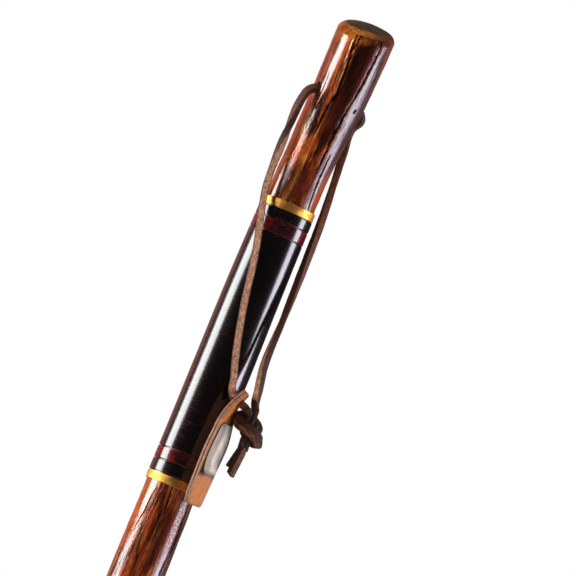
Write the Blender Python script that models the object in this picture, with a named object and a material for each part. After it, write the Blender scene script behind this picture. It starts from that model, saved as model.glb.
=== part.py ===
"""A wooden walking staff: a bowed hardwood stick with a slanted end-grain top, a wrapped grip
band between two brass rings, a suede wrist lanyard tied in an overhand knot, a leather tag
that hangs on the lanyard, and a rubber foot.

+Z is up, -Y is the front and +X is the right. The origin is on the ground, in the middle of
the rubber foot. Lengths are in metres, and the tables are in millimetres.
"""

import math

import bmesh
import bpy
import numpy as np
from mathutils import Matrix, Vector

MM = 0.001
GAP = 0.3 * MM  # between pieces that touch on the real staff

# The stick
STAFF_LENGTH = 1397 * MM  # ground to the highest point of the top, 55 inches
TOP_RADIUS = 16.9 * MM  # the stick at its top
SIDES = 32  # round the stick and everything turned on it
TOP_SLANT = math.radians(18)  # the end grain leans to the front
TOP_EDGE = 3.5 * MM  # rounding of the rim
LOBES = 0.016  # how far the section is from round, as a share of its radius
LEVEL_STEP = 24 * MM

# The stick's natural course: height, radius, bow to the right, bow to the back. The heights
# stretch with STAFF_LENGTH and the radii with TOP_RADIUS, and the last row is the top.
COURSE = (
    (0, 12.0, 0.0, 0.0),
    (42, 12.05, 0.0, 0.0),
    (132, 12.1, -0.9, 0.8),
    (270, 12.3, -3.6, 2.0),
    (530, 13.5, -6.3, 4.0),
    (668, 14.1, -7.4, 3.0),
    (829, 14.8, -9.8, 0.8),
    (882, 14.3, -9.9, -0.2),
    (963, 14.45, -9.8, -1.0),
    (1106, 14.6, -11.4, 0.0),
    (1128, 14.1, -11.7, 0.0),
    (1192, 14.7, -11.5, 0.0),
    (1234, 14.5, -12.1, 0.0),
    (1285, 14.1, -12.2, 0.0),
    (1310, 14.3, -11.9, 0.0),
    (1330, 15.3, -11.3, 0.0),
    (1352, 16.1, -10.3, 0.0),
    (1397, 16.9, -9.8, 0.0),
)

# Healed branch knots: height on the course, degrees from the front round to the right, rise,
# half height, half width.
KNOTS = (
    (963, 88, 1.9, 15, 11),
    (944, 27, 0.5, 8, 6),
    (826, -29, 0.7, 10, 7),
    (797, -27, 0.4, 6, 5),
    (729, 25, 0.6, 7, 6),
    (282, 0, 0.5, 7, 5),
)

# The grip band, from its upper ring down to its lower ring
BAND_DROP = 109 * MM  # top of the staff to the upper ring
BAND_LENGTH = 163.7 * MM
RING_HEIGHT = 4.7 * MM
RING_WALL = 0.7 * MM
RING_EDGE = 0.3 * MM
WRAP_WALL = 0.8 * MM  # two layers of waxed thread under their coat
WRAP_EDGE = 0.5 * MM  # rounding of each winding's shoulders
TOP_BLACK = 5.7 * MM
TOP_RED = 7.2 * MM
BOTTOM_RED = 6.7 * MM
BOTTOM_BLACK = 6.5 * MM

# The lanyard: one suede lace, through a hole in the handle and tied back on itself
HOLE_DROP = 46 * MM  # top of the staff to the middle of the hole
HOLE_EASE = 1.5 * MM  # rounding of the hole's mouths
HOLE_TURN = math.radians(34)  # its left mouth is turned to the front
LACE_WIDTH = 4.0 * MM
HOLE_ROOM = 1.4 * MM  # between the lace in the hole's middle and its wall
LACE_BEND = 8.2 * MM  # over the hole's lower edge, to the lace's own middle
# How far the bend takes the lace from the stick's axis, and its degrees, on each side
LEFT_BEND = (21.0, 85)
RIGHT_BEND = (19.3, 68)
LACE_STEP = 9 * MM
LACE_RESOLUTION = 2
TAIL_WIDTH = 3.8 * MM

# The free lace's way down: right of the stick's axis, behind it, and below the hole.
LEFT_ROUTE = (
    (-17.1, -9.8, -26),
    (-16.5, -10.4, -43),
    (-15.2, -12.4, -60),
    (-11.4, -15.6, -77.5),
    (-7.3, -17.3, -92),
    (-1.2, -18.5, -125.5),
    (3.5, -18.7, -146.5),
    (7.4, -18.7, -159.5),
)
RIGHT_ROUTE = (
    (13.9, 13.9, -11),
    (15.5, 13.3, -26),
    (17.4, 10.9, -43),
    (19.1, 4.6, -62),
    (20.2, -3.2, -90),
    (20.6, -9.6, -122),
    (20.5, -13.8, -150),
)

# The knot, in the lanyard's own middle: an overhand knot in both strands together
KNOT_PLACE = (25.5, -17.2, -183.0)
KNOT_LEAN = math.radians(8)  # its upper end leans to the left
KNOT_TURN = math.radians(70)  # about its own length
BUNCH_WIDTH = 5.05 * MM  # the two strands together
# A quarter of the outline of two strands side by side, in half widths, down to their crease
BUNCH_QUARTER = ((1.0, 0.0), (0.86, 0.5), (0.46, 0.82))
BUNCH_CREASE = 0.56
KNOT_POINTS = 48
KNOT_END = 0.55  # straight end above the knot, in bunch widths
# Waves that make up the pulled-tight knot, in bunch widths
KNOT_RIGHT = (0.27, -0.34, -0.89, -0.14, 0.13)
KNOT_BACK = (0.33, 0.88, 0.34, -0.12)
KNOT_UP = (-2.38, 2.04, 0.11, 0.02, -0.15)
LONG_TAIL = 13.5 * MM
SHORT_TAIL = 9.5 * MM
TAIL_LEAN = 0.34  # how far the tails drift to the left, as a share of their length

# The tag: two layers of leather, and a blank plate on the right-hand face
TAG_LENGTH = 66 * MM
TAG_WIDTH = 19 * MM
TAG_LEATHER = 1.25 * MM
TAG_CORNER = 2.5 * MM
TAG_HOLE_DROP = 5.8 * MM  # top edge to the middle of the hole
TAG_HOLE_ROOM = 0.7 * MM  # between the lace and the hole's edge
TAG_PLACE = (14.7, -18.8, -171.5)  # the middle of its hole, on the lace
PLATE_LENGTH = 29 * MM
PLATE_INSET = 0.9 * MM  # from the tag's long edges
PLATE_CORNER = 4.5 * MM
PLATE_THICKNESS = 0.5 * MM
PLATE_DROP = 19.5 * MM  # top edge of the tag to the plate
# The hanging tag's curl: share of the way down, shift to the right, degrees of its width from
# the right round to the back.
TAG_CURL = (
    (0.0, 2.9, 85),
    (0.1, 0.0, 82),
    (0.2, -1.5, 77),
    (0.3, -1.6, 68),
    (0.42, -1.4, 60),
    (0.7, -1.6, 60),
    (1.0, -1.0, 68),
)

# The rubber foot
FOOT_HEIGHT = 37 * MM
FOOT_WALL = 1.35 * MM  # round its bore, at its top
FOOT_FLARE = 3.0 * MM  # more than that, near the ground
FOOT_SOLE = 6 * MM  # rubber under the washer
FOOT_GROOVES = 4
FOOT_GROOVE = 0.9 * MM
TREAD_DEPTH = 1.0 * MM
TREAD_CENTRE = 5.5 * MM  # radius of the sole's flat middle
TREAD_RINGS = 2
WASHER = 1.6 * MM
WASHER_HOLE = 4 * MM


def clear_scene():
    for obj in list(bpy.data.objects):
        bpy.data.objects.remove(obj, do_unlink=True)


def paint(name, colour, roughness, metallic=0.0):
    material = bpy.data.materials.new(name)
    material.use_nodes = True
    shader = material.node_tree.nodes["Principled BSDF"]
    shader.inputs["Base Color"].default_value = (*colour, 1)
    shader.inputs["Roughness"].default_value = roughness
    shader.inputs["Metallic"].default_value = metallic
    material.diffuse_color = (*colour, 1)
    return material


def joint(name, place, parent=None):
    """An empty that stands on a moving piece's axis."""
    empty = bpy.data.objects.new(name, None)
    empty.empty_display_size = 0.02
    bpy.context.collection.objects.link(empty)
    hang(empty, Vector(place), parent)
    return empty


def hang(obj, place, parent):
    """Puts the object at a place in the world, under its parent."""
    obj.location = place
    if parent:
        obj.parent = parent
        obj.location = place - parent.matrix_world.translation
    bpy.context.view_layer.update()


def solid(name, bm, origin, parent, material):
    """An object from a mesh drawn in the world, with its origin where the piece is held."""
    bmesh.ops.translate(bm, verts=bm.verts, vec=-Vector(origin))
    bmesh.ops.recalc_face_normals(bm, faces=bm.faces)
    mesh = bpy.data.meshes.new(name)
    bm.to_mesh(mesh)
    bm.free()
    mesh.shade_smooth()
    mesh.set_sharp_from_angle(angle=math.radians(35))
    mesh.materials.append(material)
    obj = bpy.data.objects.new(name, mesh)
    bpy.context.collection.objects.link(obj)
    hang(obj, Vector(origin), parent)
    return obj


def loft(rings, closed=False):
    """A skin over rings of points. Its ends are capped, or meet each other."""
    bm = bmesh.new()
    loops = [[bm.verts.new(point) for point in ring] for ring in rings]
    pairs = list(zip(loops, loops[1:]))
    if closed:
        pairs.append((loops[-1], loops[0]))
    for low, high in pairs:
        for i in range(len(low)):
            j = (i + 1) % len(low)
            bm.faces.new((low[i], low[j], high[j], high[i]))
    if not closed:
        bm.faces.new(reversed(loops[0]))
        bm.faces.new(loops[-1])
    return bm


def smooth(table, at):
    """The row of a table at a place between its rows, on a smooth curve through them."""
    rows = np.array(table, float)
    where = rows[:, 0]
    slopes = np.gradient(rows[:, 1:], where, axis=0)
    i = int(np.clip(np.searchsorted(where, at) - 1, 0, len(where) - 2))
    step = where[i + 1] - where[i]
    t = (at - where[i]) / step
    return (
        (2 * t**3 - 3 * t**2 + 1) * rows[i, 1:]
        + (t**3 - 2 * t**2 + t) * step * slopes[i]
        + (3 * t**2 - 2 * t**3) * rows[i + 1, 1:]
        + (t**3 - t**2) * step * slopes[i + 1]
    )


def smooth_line(route, step):
    """Points on a smooth curve through a route's points, about a step apart."""
    route = np.array(route, float)
    runs = np.linalg.norm(np.diff(route, axis=0), axis=1)
    table = np.column_stack([np.concatenate([[0], np.cumsum(runs)]), route])
    line = []
    for start, run in zip(table[:-1, 0], runs):
        count = max(2, round(run / step))
        line += [smooth(table, start + run * k / count) for k in range(count)]
    return [Vector(point) for point in line] + [Vector(route[-1])]


# The stick


def radius_at(z):
    on_course = smooth(COURSE, z / STAFF_LENGTH * COURSE[-1][0])[0]
    return on_course / COURSE[-1][1] * TOP_RADIUS


def axis_at(z):
    _, right, back = smooth(COURSE, z / STAFF_LENGTH * COURSE[-1][0]) * MM
    return Vector((right, back, z))


def ease(low, high, value):
    t = min(max((value - low) / (high - low), 0), 1)
    return t * t * (3 - 2 * t)


def unround(z):
    """How strongly the lobes show: not in the foot, nor under the band."""
    top, bottom = STAFF_LENGTH - BAND_DROP, STAFF_LENGTH - BAND_DROP - BAND_LENGTH
    below = ease(FOOT_HEIGHT, FOOT_HEIGHT + 60 * MM, z) * (
        1 - ease(bottom - 40 * MM, bottom, z)
    )
    return below + ease(top, top + 40 * MM, z)


def knot_rise(z, angle):
    """The swelling over the healed knots, at an angle from the front round to the right."""
    rise = 0.0
    for height, degrees, tall, half_height, half_width in KNOTS:
        across = (angle - math.radians(degrees) + math.pi) % (2 * math.pi) - math.pi
        up = z / (height / COURSE[-1][0] * STAFF_LENGTH) - 1
        up *= height / COURSE[-1][0] * STAFF_LENGTH / (half_height * MM)
        across *= radius_at(z) / (half_width * MM)
        rise += tall * MM * math.exp(-(up**2) - across**2)
    return rise


def stick_ring(z, shrink=0.0, lean=0.0):
    """The bark's outline at one height, drawn in by a width and leaning to the front."""
    centre = axis_at(z)
    base = radius_at(z)
    turn = 7 * z / STAFF_LENGTH
    ring = []
    for k in range(SIDES):
        angle = 2 * math.pi * k / SIDES  # from the front round to the right
        lobes = math.cos(2 * angle - turn) + 0.5 * math.cos(3 * angle + 1.7 * turn)
        radius = base * (1 + LOBES * unround(z) * lobes) + knot_rise(z, angle) - shrink
        right, back = radius * math.sin(angle), -radius * math.cos(angle)
        ring.append(centre + Vector((right, back, lean * back)))
    return ring


def stick_levels(bottom, top):
    """Heights of the stick's outlines: even steps, and closer ones over the knots and the handle."""
    levels = set(np.linspace(bottom, top, round((top - bottom) / LEVEL_STEP) + 1))
    for height, _, _, half_height, _ in KNOTS:
        middle = height / COURSE[-1][0] * STAFF_LENGTH
        levels |= {middle + k * half_height * MM for k in (-2, -1.2, -0.5, 0, 0.5, 1.2, 2)}
    for row in COURSE[-4:]:
        levels.add(row[0] / COURSE[-1][0] * STAFF_LENGTH)
    kept = []
    for level in sorted(levels):
        if level <= top and (not kept or level - kept[-1] > 2.5 * MM):
            kept.append(level)
    return kept


def build_shaft(root, material):
    slope = math.tan(TOP_SLANT)
    rim = radius_at(STAFF_LENGTH)
    # The middle of the slanted top, with its rounded back edge at the full length.
    crown = (
        STAFF_LENGTH
        - slope * (rim - TOP_EDGE)
        - TOP_EDGE * (math.hypot(1, slope) - 1)
    )
    lean_from = crown - 34 * MM
    bottom = FOOT_SOLE + WASHER + 2 * GAP
    rings = [stick_ring(bottom, shrink=1.2 * MM), stick_ring(bottom + 1.2 * MM)]
    for z in stick_levels(bottom + 8 * MM, crown - TOP_EDGE - 3 * MM):
        rings.append(stick_ring(z, lean=slope * ease(lean_from, crown - 6 * MM, z)))
    for k in range(5):
        turn = k * math.pi / 8
        rings.append(
            stick_ring(
                crown - TOP_EDGE * (1 - math.sin(turn)),
                shrink=TOP_EDGE * (1 - math.cos(turn)),
                lean=slope,
            )
        )
    shaft = solid("shaft", loft(rings), (0, 0, 0), root, material)
    cut = shaft.modifiers.new("lanyard hole", "BOOLEAN")
    cut.operation = "DIFFERENCE"
    cut.object = hole_cutter(root, material)
    return shaft


def hole_place():
    return axis_at(STAFF_LENGTH - HOLE_DROP)


def hole_radius():
    return LACE_WIDTH / 2 + HOLE_ROOM


def across_hole(out, side=0.0, up=0.0):
    """A vector in the hole's own directions: along it to the right, across it and up."""
    return Matrix.Rotation(HOLE_TURN, 3, "Z") @ Vector((out, side, up))


def hole_cutter(root, material):
    """The lanyard's hole, from left to right, with its mouths eased open."""
    side = radius_at(hole_place().z)
    radius = hole_radius()
    half = [(0, radius)]
    for k in range(5):
        turn = k * math.pi / 8
        half.append(
            (
                side - HOLE_EASE * (1 - math.sin(turn)),
                radius + HOLE_EASE * (1 - math.cos(turn)),
            )
        )
    half.append((side + 3 * MM, radius + HOLE_EASE))
    profile = [(-x, r) for x, r in reversed(half[1:])] + half[1:]
    rings = []
    for x, r in profile:
        turns = [2 * math.pi * k / 24 for k in range(24)]
        rings.append(
            [
                hole_place() + across_hole(x, r * math.cos(a), r * math.sin(a))
                for a in turns
            ]
        )
    cutter = solid("hole_cutter", loft(rings), hole_place(), root, material)
    cutter.hide_render = True
    cutter.display_type = "WIRE"
    return cutter


# The grip band


def band_pieces():
    """Name, top and bottom of each piece of the band, with a gap between neighbours."""
    top = STAFF_LENGTH - BAND_DROP
    down = [
        ("ring_upper", RING_HEIGHT),
        ("winding_top_black", TOP_BLACK),
        ("winding_top_red", TOP_RED),
    ]
    up = [
        ("ring_lower", RING_HEIGHT),
        ("winding_bottom_black", BOTTOM_BLACK),
        ("winding_bottom_red", BOTTOM_RED),
    ]
    pieces = []
    z = top
    for name, height in down:
        pieces.append((name, z, z - height))
        z -= height + GAP
    low = top - BAND_LENGTH
    for name, height in up:
        pieces.append((name, low + height, low))
        low += height + GAP
    return pieces + [("winding_middle_black", z, low)]


def sleeve(top, bottom, wall, edge):
    """A band round the stick that follows it, with rounded shoulders."""
    levels = [(bottom, edge), (bottom + edge, 0)]
    count = max(1, round((top - bottom) / (18 * MM)))
    for k in range(1, count):
        levels.append((bottom + (top - bottom) * k / count, 0))
    levels += [(top - edge, 0), (top, edge)]
    rings = []
    for z, drawn_in in levels:
        rings.append(round_ring(z, radius_at(z) + GAP + wall - drawn_in))
    for z, _ in reversed(levels):
        rings.append(round_ring(z, radius_at(z) + GAP))
    return loft(rings, closed=True)


def round_ring(z, radius):
    centre = axis_at(z)
    turns = [2 * math.pi * k / SIDES for k in range(SIDES)]
    return [
        centre + Vector((radius * math.sin(a), -radius * math.cos(a), 0)) for a in turns
    ]


def build_band(root, brass, black, red):
    for name, top, bottom in band_pieces():
        if name.startswith("ring"):
            wall, edge, material = RING_WALL, RING_EDGE, brass
        else:
            wall, edge = WRAP_WALL, WRAP_EDGE
            material = red if "red" in name else black
        solid(name, sleeve(top, bottom, wall, edge), axis_at(bottom), root, material)


# The lanyard


def beside(right, back, down):
    """A point off the stick's axis, a height below the hole, in mm."""
    return axis_at(hole_place().z + down * MM) + Vector((right, back, 0)) * MM


def lace(name, line, width, origin, parent, material):
    """A lace along its centreline: a curve with a round bevel and closed ends."""
    curve = bpy.data.curves.new(name, "CURVE")
    curve.dimensions = "3D"
    curve.bevel_depth = width / 2
    curve.bevel_resolution = LACE_RESOLUTION
    curve.use_fill_caps = True
    spline = curve.splines.new("POLY")
    spline.points.add(len(line) - 1)
    for point, place in zip(spline.points, line):
        point.co = (*(place - Vector(origin)), 1)
    spline.use_smooth = True
    curve.materials.append(material)
    obj = bpy.data.objects.new(name, curve)
    bpy.context.collection.objects.link(obj)
    hang(obj, Vector(origin), parent)
    return obj


def bend_start(bend):
    """How far from the stick's axis the lace starts to bend."""
    reach, degrees = bend
    return reach * MM - LACE_BEND * math.sin(math.radians(degrees))


def over_the_edge(side, bend):
    """The lace's way out of the hole and over its lower edge, on the left (-1) or right (1)."""
    line = []
    for k in range(5):
        turn = math.radians(bend[1]) * k / 4
        out = bend_start(bend) + LACE_BEND * math.sin(turn)
        down = LACE_BEND * (1 - math.cos(turn))
        line.append(hole_place() + across_hole(side * out, 0, -down))
    return line


def tag_place():
    return beside(*TAG_PLACE)


def tag_axis():
    """The lace's direction through the tag's hole: square to the leather there."""
    ahead = tag_frame(TAG_HOLE_DROP / TAG_LENGTH)
    return ahead[2]


def knot_place():
    return beside(*KNOT_PLACE)


def knot_turn():
    return Matrix.Rotation(-KNOT_LEAN, 3, "Y") @ Matrix.Rotation(KNOT_TURN, 3, "Z")


def knot_line():
    """The pulled-tight overhand knot: the strands go once and a half round themselves."""
    line = []
    for k in range(KNOT_POINTS + 1):
        u = 2 * k / KNOT_POINTS - 1
        right = sum(a * math.cos(n * math.pi * u) for n, a in enumerate(KNOT_RIGHT))
        back = sum(a * math.sin(n * math.pi * u) for n, a in enumerate(KNOT_BACK, 1))
        up = KNOT_UP[0] * u
        up += sum(a * math.sin(n * math.pi * u) for n, a in enumerate(KNOT_UP[1:], 1))
        line.append(Vector((right, back, up)))
    line.insert(0, line[0] + Vector((0, 0, KNOT_END)))
    return [knot_place() + knot_turn() @ (p * BUNCH_WIDTH) for p in line]


def least_gap(line, width):
    """The least gap between two turns of one tube."""
    points = np.array(line)
    steps = np.linalg.norm(np.diff(points, axis=0), axis=1)
    along = np.concatenate([[0], np.cumsum(steps)])
    apart = np.linalg.norm(points[:, None] - points[None], axis=2)
    far = abs(along[:, None] - along[None]) > 1.75 * width
    return apart[far].min() - width


def bunch_ring(place, ahead, side):
    """Two strands side by side, as one outline with a crease on both sides."""
    up = ahead.cross(side)
    outline = list(BUNCH_QUARTER) + [(0, BUNCH_CREASE)]
    outline += [(-x, y) for x, y in reversed(BUNCH_QUARTER)]
    outline += [(-x, -y) for x, y in outline[1:-1]]
    half = BUNCH_WIDTH / 2
    return [place + half * (x * side + y * up) for x, y in outline]


def build_knot(parent, material):
    line = knot_line()
    rings = []
    side = Vector((1, 0, 0))
    for k, place in enumerate(line):
        ahead = (line[min(k + 1, len(line) - 1)] - line[max(k - 1, 0)]).normalized()
        side = (side - side.dot(ahead) * ahead).normalized()
        rings.append(bunch_ring(place, ahead, side))
    print(f"knot: least gap to itself {least_gap(line, BUNCH_WIDTH) / MM:.2f} mm")
    solid("lace_knot", loft(rings), knot_place(), parent, material)


def build_lanyard(root, material):
    pivot = joint("lanyard_pivot", hole_place(), root)
    from_left, to_right = GAP - bend_start(LEFT_BEND), bend_start(RIGHT_BEND) - GAP
    line = [
        hole_place() + across_hole(out) for out in np.linspace(from_left, to_right, 7)
    ]
    lace("lace_in_hole", line, LACE_WIDTH, hole_place(), pivot, material)

    knot = knot_line()
    top, bottom = knot[0], knot[-1]
    down = (knot[1] - knot[0]).normalized()
    through = tag_axis()
    left = [beside(*point) for point in LEFT_ROUTE]
    left += [tag_place() + through * TAG_LEATHER * k for k in (-2.3, -1.15, 1.6, 3.2, 4.7)]
    right = [beside(*point) for point in RIGHT_ROUTE]
    right += [top - down * (GAP + 5 * MM), top - down * GAP]
    for name, side, bend, route in (
        ("lace_left", -1, LEFT_BEND, left),
        ("lace_right", 1, RIGHT_BEND, right),
    ):
        line = smooth_line(over_the_edge(side, bend) + route, LACE_STEP)
        lace(name, line, LACE_WIDTH, hole_place(), pivot, material)

    build_knot(pivot, material)
    out = (knot[-1] - knot[-2]).normalized()
    apart = Vector((0.6, -0.8, 0)) * (TAIL_WIDTH + GAP) / 2
    for name, side, length in (
        ("lace_tail_long", 1, LONG_TAIL),
        ("lace_tail_short", -1, SHORT_TAIL),
    ):
        start = bottom + side * apart + out * (GAP + TAIL_LEAN * TAIL_WIDTH / 2)
        drop = (out - Vector((TAIL_LEAN, 0, 0))) * length
        line = [start + drop * t for t in (0, 0.25, 0.5, 0.75, 1)]
        lace(name, line, TAIL_WIDTH, knot_place(), pivot, material)
    return pivot


# The tag


def tag_frame(share):
    """Middle, width direction and face direction of the hanging tag, a share of the way down."""
    shift, degrees = smooth(TAG_CURL, share)
    at_hole = smooth(TAG_CURL, TAG_HOLE_DROP / TAG_LENGTH)[0]
    down = share * TAG_LENGTH - TAG_HOLE_DROP
    middle = tag_place() + Vector(((shift - at_hole) * MM, 0, -down))
    ahead = (smooth(TAG_CURL, share + 0.01)[0] - smooth(TAG_CURL, share - 0.01)[0]) * MM
    run = Vector((ahead, 0, -0.02 * TAG_LENGTH)).normalized()
    turn = math.radians(degrees)
    width = Vector((math.cos(turn), math.sin(turn), 0))
    width = (width - width.dot(run) * run).normalized()
    return middle, width, run.cross(width).normalized()


def flat_blank(length, width, corner, hole_drop=None, hole_radius=0):
    """A flat outline with rounded corners, and a hole: down from the top edge, and across."""
    bm = bmesh.new()
    outline = []
    for right, down, start in (
        (1, 0, 0),
        (-1, 0, 90),
        (-1, 1, 180),
        (1, 1, 270),
    ):
        centre = Vector(
            (right * (width / 2 - corner), -(corner + down * (length - 2 * corner)), 0)
        )
        for k in range(5):
            a = math.radians(start + 90 * k / 4)
            outline.append(centre + corner * Vector((math.cos(a), math.sin(a), 0)))
    loops = [outline]
    if hole_drop is not None:
        turns = [2 * math.pi * k / 16 for k in range(16)]
        loops.append(
            [
                Vector((hole_radius * math.cos(a), hole_radius * math.sin(a) - hole_drop, 0))
                for a in turns
            ]
        )
    edges = []
    for loop in loops:
        verts = [bm.verts.new(point) for point in loop]
        edges += [bm.edges.new((a, b)) for a, b in zip(verts, verts[1:] + verts[:1])]
    bmesh.ops.triangle_fill(bm, edges=edges, use_beauty=True)
    return bm


def curl(bm, top, face, thickness):
    """Bends a flat blank onto the hanging tag, with its skins at two heights over the middle."""
    length = max(-v.co.y for v in bm.verts)
    for k in range(1, round(length / (5 * MM))):
        cut = -length * k / round(length / (5 * MM))
        geometry = bm.verts[:] + bm.edges[:] + bm.faces[:]
        bmesh.ops.bisect_plane(
            bm, geom=geometry, dist=1e-7, plane_co=(0, cut, 0), plane_no=(0, 1, 0)
        )
    grown = bmesh.ops.extrude_face_region(bm, geom=bm.faces[:])["geom"]
    raised = {v for v in grown if isinstance(v, bmesh.types.BMVert)}
    for v in bm.verts:
        middle, width, normal = tag_frame((top - v.co.y) / TAG_LENGTH)
        height = face + (thickness if v in raised else 0)
        v.co = middle + width * v.co.x + normal * height
    return bm


def build_tag(parent, leather, plate):
    pivot = joint("tag_pivot", tag_place(), parent)
    radius = LACE_WIDTH / 2 + TAG_HOLE_ROOM
    for name, face in (
        ("tag_leather_outer", GAP / 2),
        ("tag_leather_inner", -GAP / 2 - TAG_LEATHER),
    ):
        # The hole is worn up: its upper edge rests on the lace.
        hole = TAG_HOLE_DROP + (TAG_HOLE_ROOM - GAP)
        blank = flat_blank(TAG_LENGTH, TAG_WIDTH, TAG_CORNER, hole, radius)
        solid(name, curl(blank, 0, face, TAG_LEATHER), tag_place(), pivot, leather)
    blank = flat_blank(PLATE_LENGTH, TAG_WIDTH - 2 * PLATE_INSET, PLATE_CORNER)
    raised = GAP / 2 + TAG_LEATHER + GAP
    bm = curl(blank, PLATE_DROP, raised, PLATE_THICKNESS)
    solid("tag_plate", bm, tag_place(), pivot, plate)
    return pivot


# The rubber foot


def turned(profile):
    """A closed profile of radius and height, turned round the foot's axis."""
    bm = bmesh.new()
    verts = [bm.verts.new((r, 0, z)) for r, z in profile]
    edges = [bm.edges.new((a, b)) for a, b in zip(verts, verts[1:])]
    if profile[0][0] > 0:
        edges.append(bm.edges.new((verts[-1], verts[0])))
    bmesh.ops.spin(
        bm,
        geom=verts + edges,
        axis=(0, 0, 1),
        cent=(0, 0, 0),
        steps=SIDES,
        angle=2 * math.pi,
        use_merge=True,
    )
    bmesh.ops.remove_doubles(bm, verts=bm.verts, dist=1e-6)
    return bm


def foot_bore():
    return radius_at(FOOT_HEIGHT) + GAP


def side_radius(z):
    """The foot's outside: widest near the ground."""
    low = 4.5 * MM
    return foot_bore() + FOOT_WALL + FOOT_FLARE * (FOOT_HEIGHT - z) / (FOOT_HEIGHT - low)


def foot_profile(floor):
    """From the middle of the sole, out over the tread, up the grooved side and down the bore."""
    base = side_radius(4.5 * MM)
    profile = [(0, 0), (TREAD_CENTRE, 0)]
    pitch = (base - 1.6 * MM - TREAD_CENTRE) / TREAD_RINGS
    for k in range(TREAD_RINGS):
        start = TREAD_CENTRE + k * pitch
        for share, up in ((0.1, TREAD_DEPTH), (0.45, TREAD_DEPTH), (0.55, 0), (1, 0)):
            profile.append((start + share * pitch, up))
    profile += [(base - 0.4 * MM, 1.6 * MM), (base, 4.5 * MM)]
    room = FOOT_HEIGHT - 13 * MM
    for k in range(FOOT_GROOVES):
        z = 7.5 * MM + room * k / (FOOT_GROOVES - 1)
        for up, depth in ((0, 0), (0.6 * MM, 1), (2.0 * MM, 1), (2.6 * MM, 0)):
            profile.append((side_radius(z + up) - depth * FOOT_GROOVE, z + up))
    profile += [
        (side_radius(FOOT_HEIGHT - 1.0 * MM), FOOT_HEIGHT - 1.0 * MM),
        (side_radius(FOOT_HEIGHT) - FOOT_WALL / 2, FOOT_HEIGHT),
        (foot_bore(), FOOT_HEIGHT),
        (foot_bore(), floor),
        (0, floor),
    ]
    return profile


def build_foot(root, rubber, steel):
    foot = turned(foot_profile(FOOT_SOLE))
    solid("ferrule", foot, (0, 0, 0), root, rubber)
    low, edge = FOOT_SOLE + GAP, foot_bore() - 2 * GAP
    washer = turned(
        [(WASHER_HOLE, low), (edge, low), (edge, low + WASHER), (WASHER_HOLE, low + WASHER)]
    )
    solid("ferrule_washer", washer, (0, 0, low), root, steel)


def main():
    clear_scene()
    root = joint("staff", (0, 0, 0))
    wood = paint("varnished wood", (0.32, 0.10, 0.03), 0.18)
    build_shaft(root, wood)
    brass = paint("satin brass", (0.78, 0.50, 0.16), 0.28, 1.0)
    black = paint("black thread under a clear coat", (0.015, 0.008, 0.01), 0.12)
    red = paint("red thread under a clear coat", (0.35, 0.02, 0.02), 0.12)
    build_band(root, brass, black, red)
    suede = paint("brown suede", (0.10, 0.035, 0.02), 0.85)
    pivot = build_lanyard(root, suede)
    leather = paint("tan leather", (0.42, 0.13, 0.03), 0.6)
    plate = paint("pale plate", (0.75, 0.62, 0.52), 0.35)
    build_tag(pivot, leather, plate)
    rubber = paint("grey-brown rubber", (0.09, 0.075, 0.065), 0.75)
    steel = paint("steel", (0.55, 0.55, 0.55), 0.35, 1.0)
    build_foot(root, rubber, steel)


main()
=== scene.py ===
# %% [markdown]
# # A wooden walking staff
#
# The real staff is one length of hardwood with most of its bark taken off and a thick coat of
# varnish. It has a grip band of thread between two brass rings, a suede lanyard with a leather
# tag, and a rubber foot. The CAD model gives every piece its place and its joints. This lesson
# gives each piece its fine shape and then its finish, one piece at a time.

# %% Load the CAD model as a fixed frame
import math

import bpy
import numpy as np
from mathutils import Matrix, Vector


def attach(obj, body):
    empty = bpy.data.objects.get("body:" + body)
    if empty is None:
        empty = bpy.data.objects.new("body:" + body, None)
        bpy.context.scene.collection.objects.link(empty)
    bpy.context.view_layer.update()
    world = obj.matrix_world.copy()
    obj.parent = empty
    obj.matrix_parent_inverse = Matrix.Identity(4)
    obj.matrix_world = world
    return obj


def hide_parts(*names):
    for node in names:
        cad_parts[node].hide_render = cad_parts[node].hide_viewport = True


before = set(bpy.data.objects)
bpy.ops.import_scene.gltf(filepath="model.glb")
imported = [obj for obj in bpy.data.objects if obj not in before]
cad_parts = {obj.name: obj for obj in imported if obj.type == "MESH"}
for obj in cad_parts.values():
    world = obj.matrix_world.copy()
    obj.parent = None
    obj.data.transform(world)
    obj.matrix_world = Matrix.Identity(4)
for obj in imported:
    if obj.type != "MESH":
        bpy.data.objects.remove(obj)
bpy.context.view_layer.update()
MM = 0.001

# %% [markdown]
# ## The camera
#
# The photograph shows the handle, the band and the lanyard from the front, slightly from below,
# with the staff leaning across the picture. The staff itself stands upright here, so the camera
# is turned about its own line of sight instead. A long lens from 3 m away keeps the edges as
# parallel as they are in the photograph.

# %% Aim the camera
CAMERA_TARGET = Vector((0.0044, 0, 1.2465))
CAMERA_DISTANCE = 3.0
CAMERA_RISE = math.radians(4)  # how far it looks up
CAMERA_ROLL = math.radians(22.8)
PICTURE_WIDTH = 0.308  # what the picture shows at the target
SENSOR = 36
looking = Vector((0, math.cos(CAMERA_RISE), math.sin(CAMERA_RISE)))

bpy.ops.object.camera_add()
camera = bpy.context.object
camera.matrix_world = (
    Matrix.Translation(CAMERA_TARGET - looking * CAMERA_DISTANCE)
    @ looking.to_track_quat("-Z", "Y").to_matrix().to_4x4()
    @ Matrix.Rotation(CAMERA_ROLL, 4, "Z")
)
camera.data.sensor_width = SENSOR
camera.data.lens = SENSOR * CAMERA_DISTANCE / PICTURE_WIDTH
bpy.context.scene.camera = camera
print(f"camera at {tuple(round(c, 3) for c in camera.location)}, lens {camera.data.lens:.0f} mm")

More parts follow.
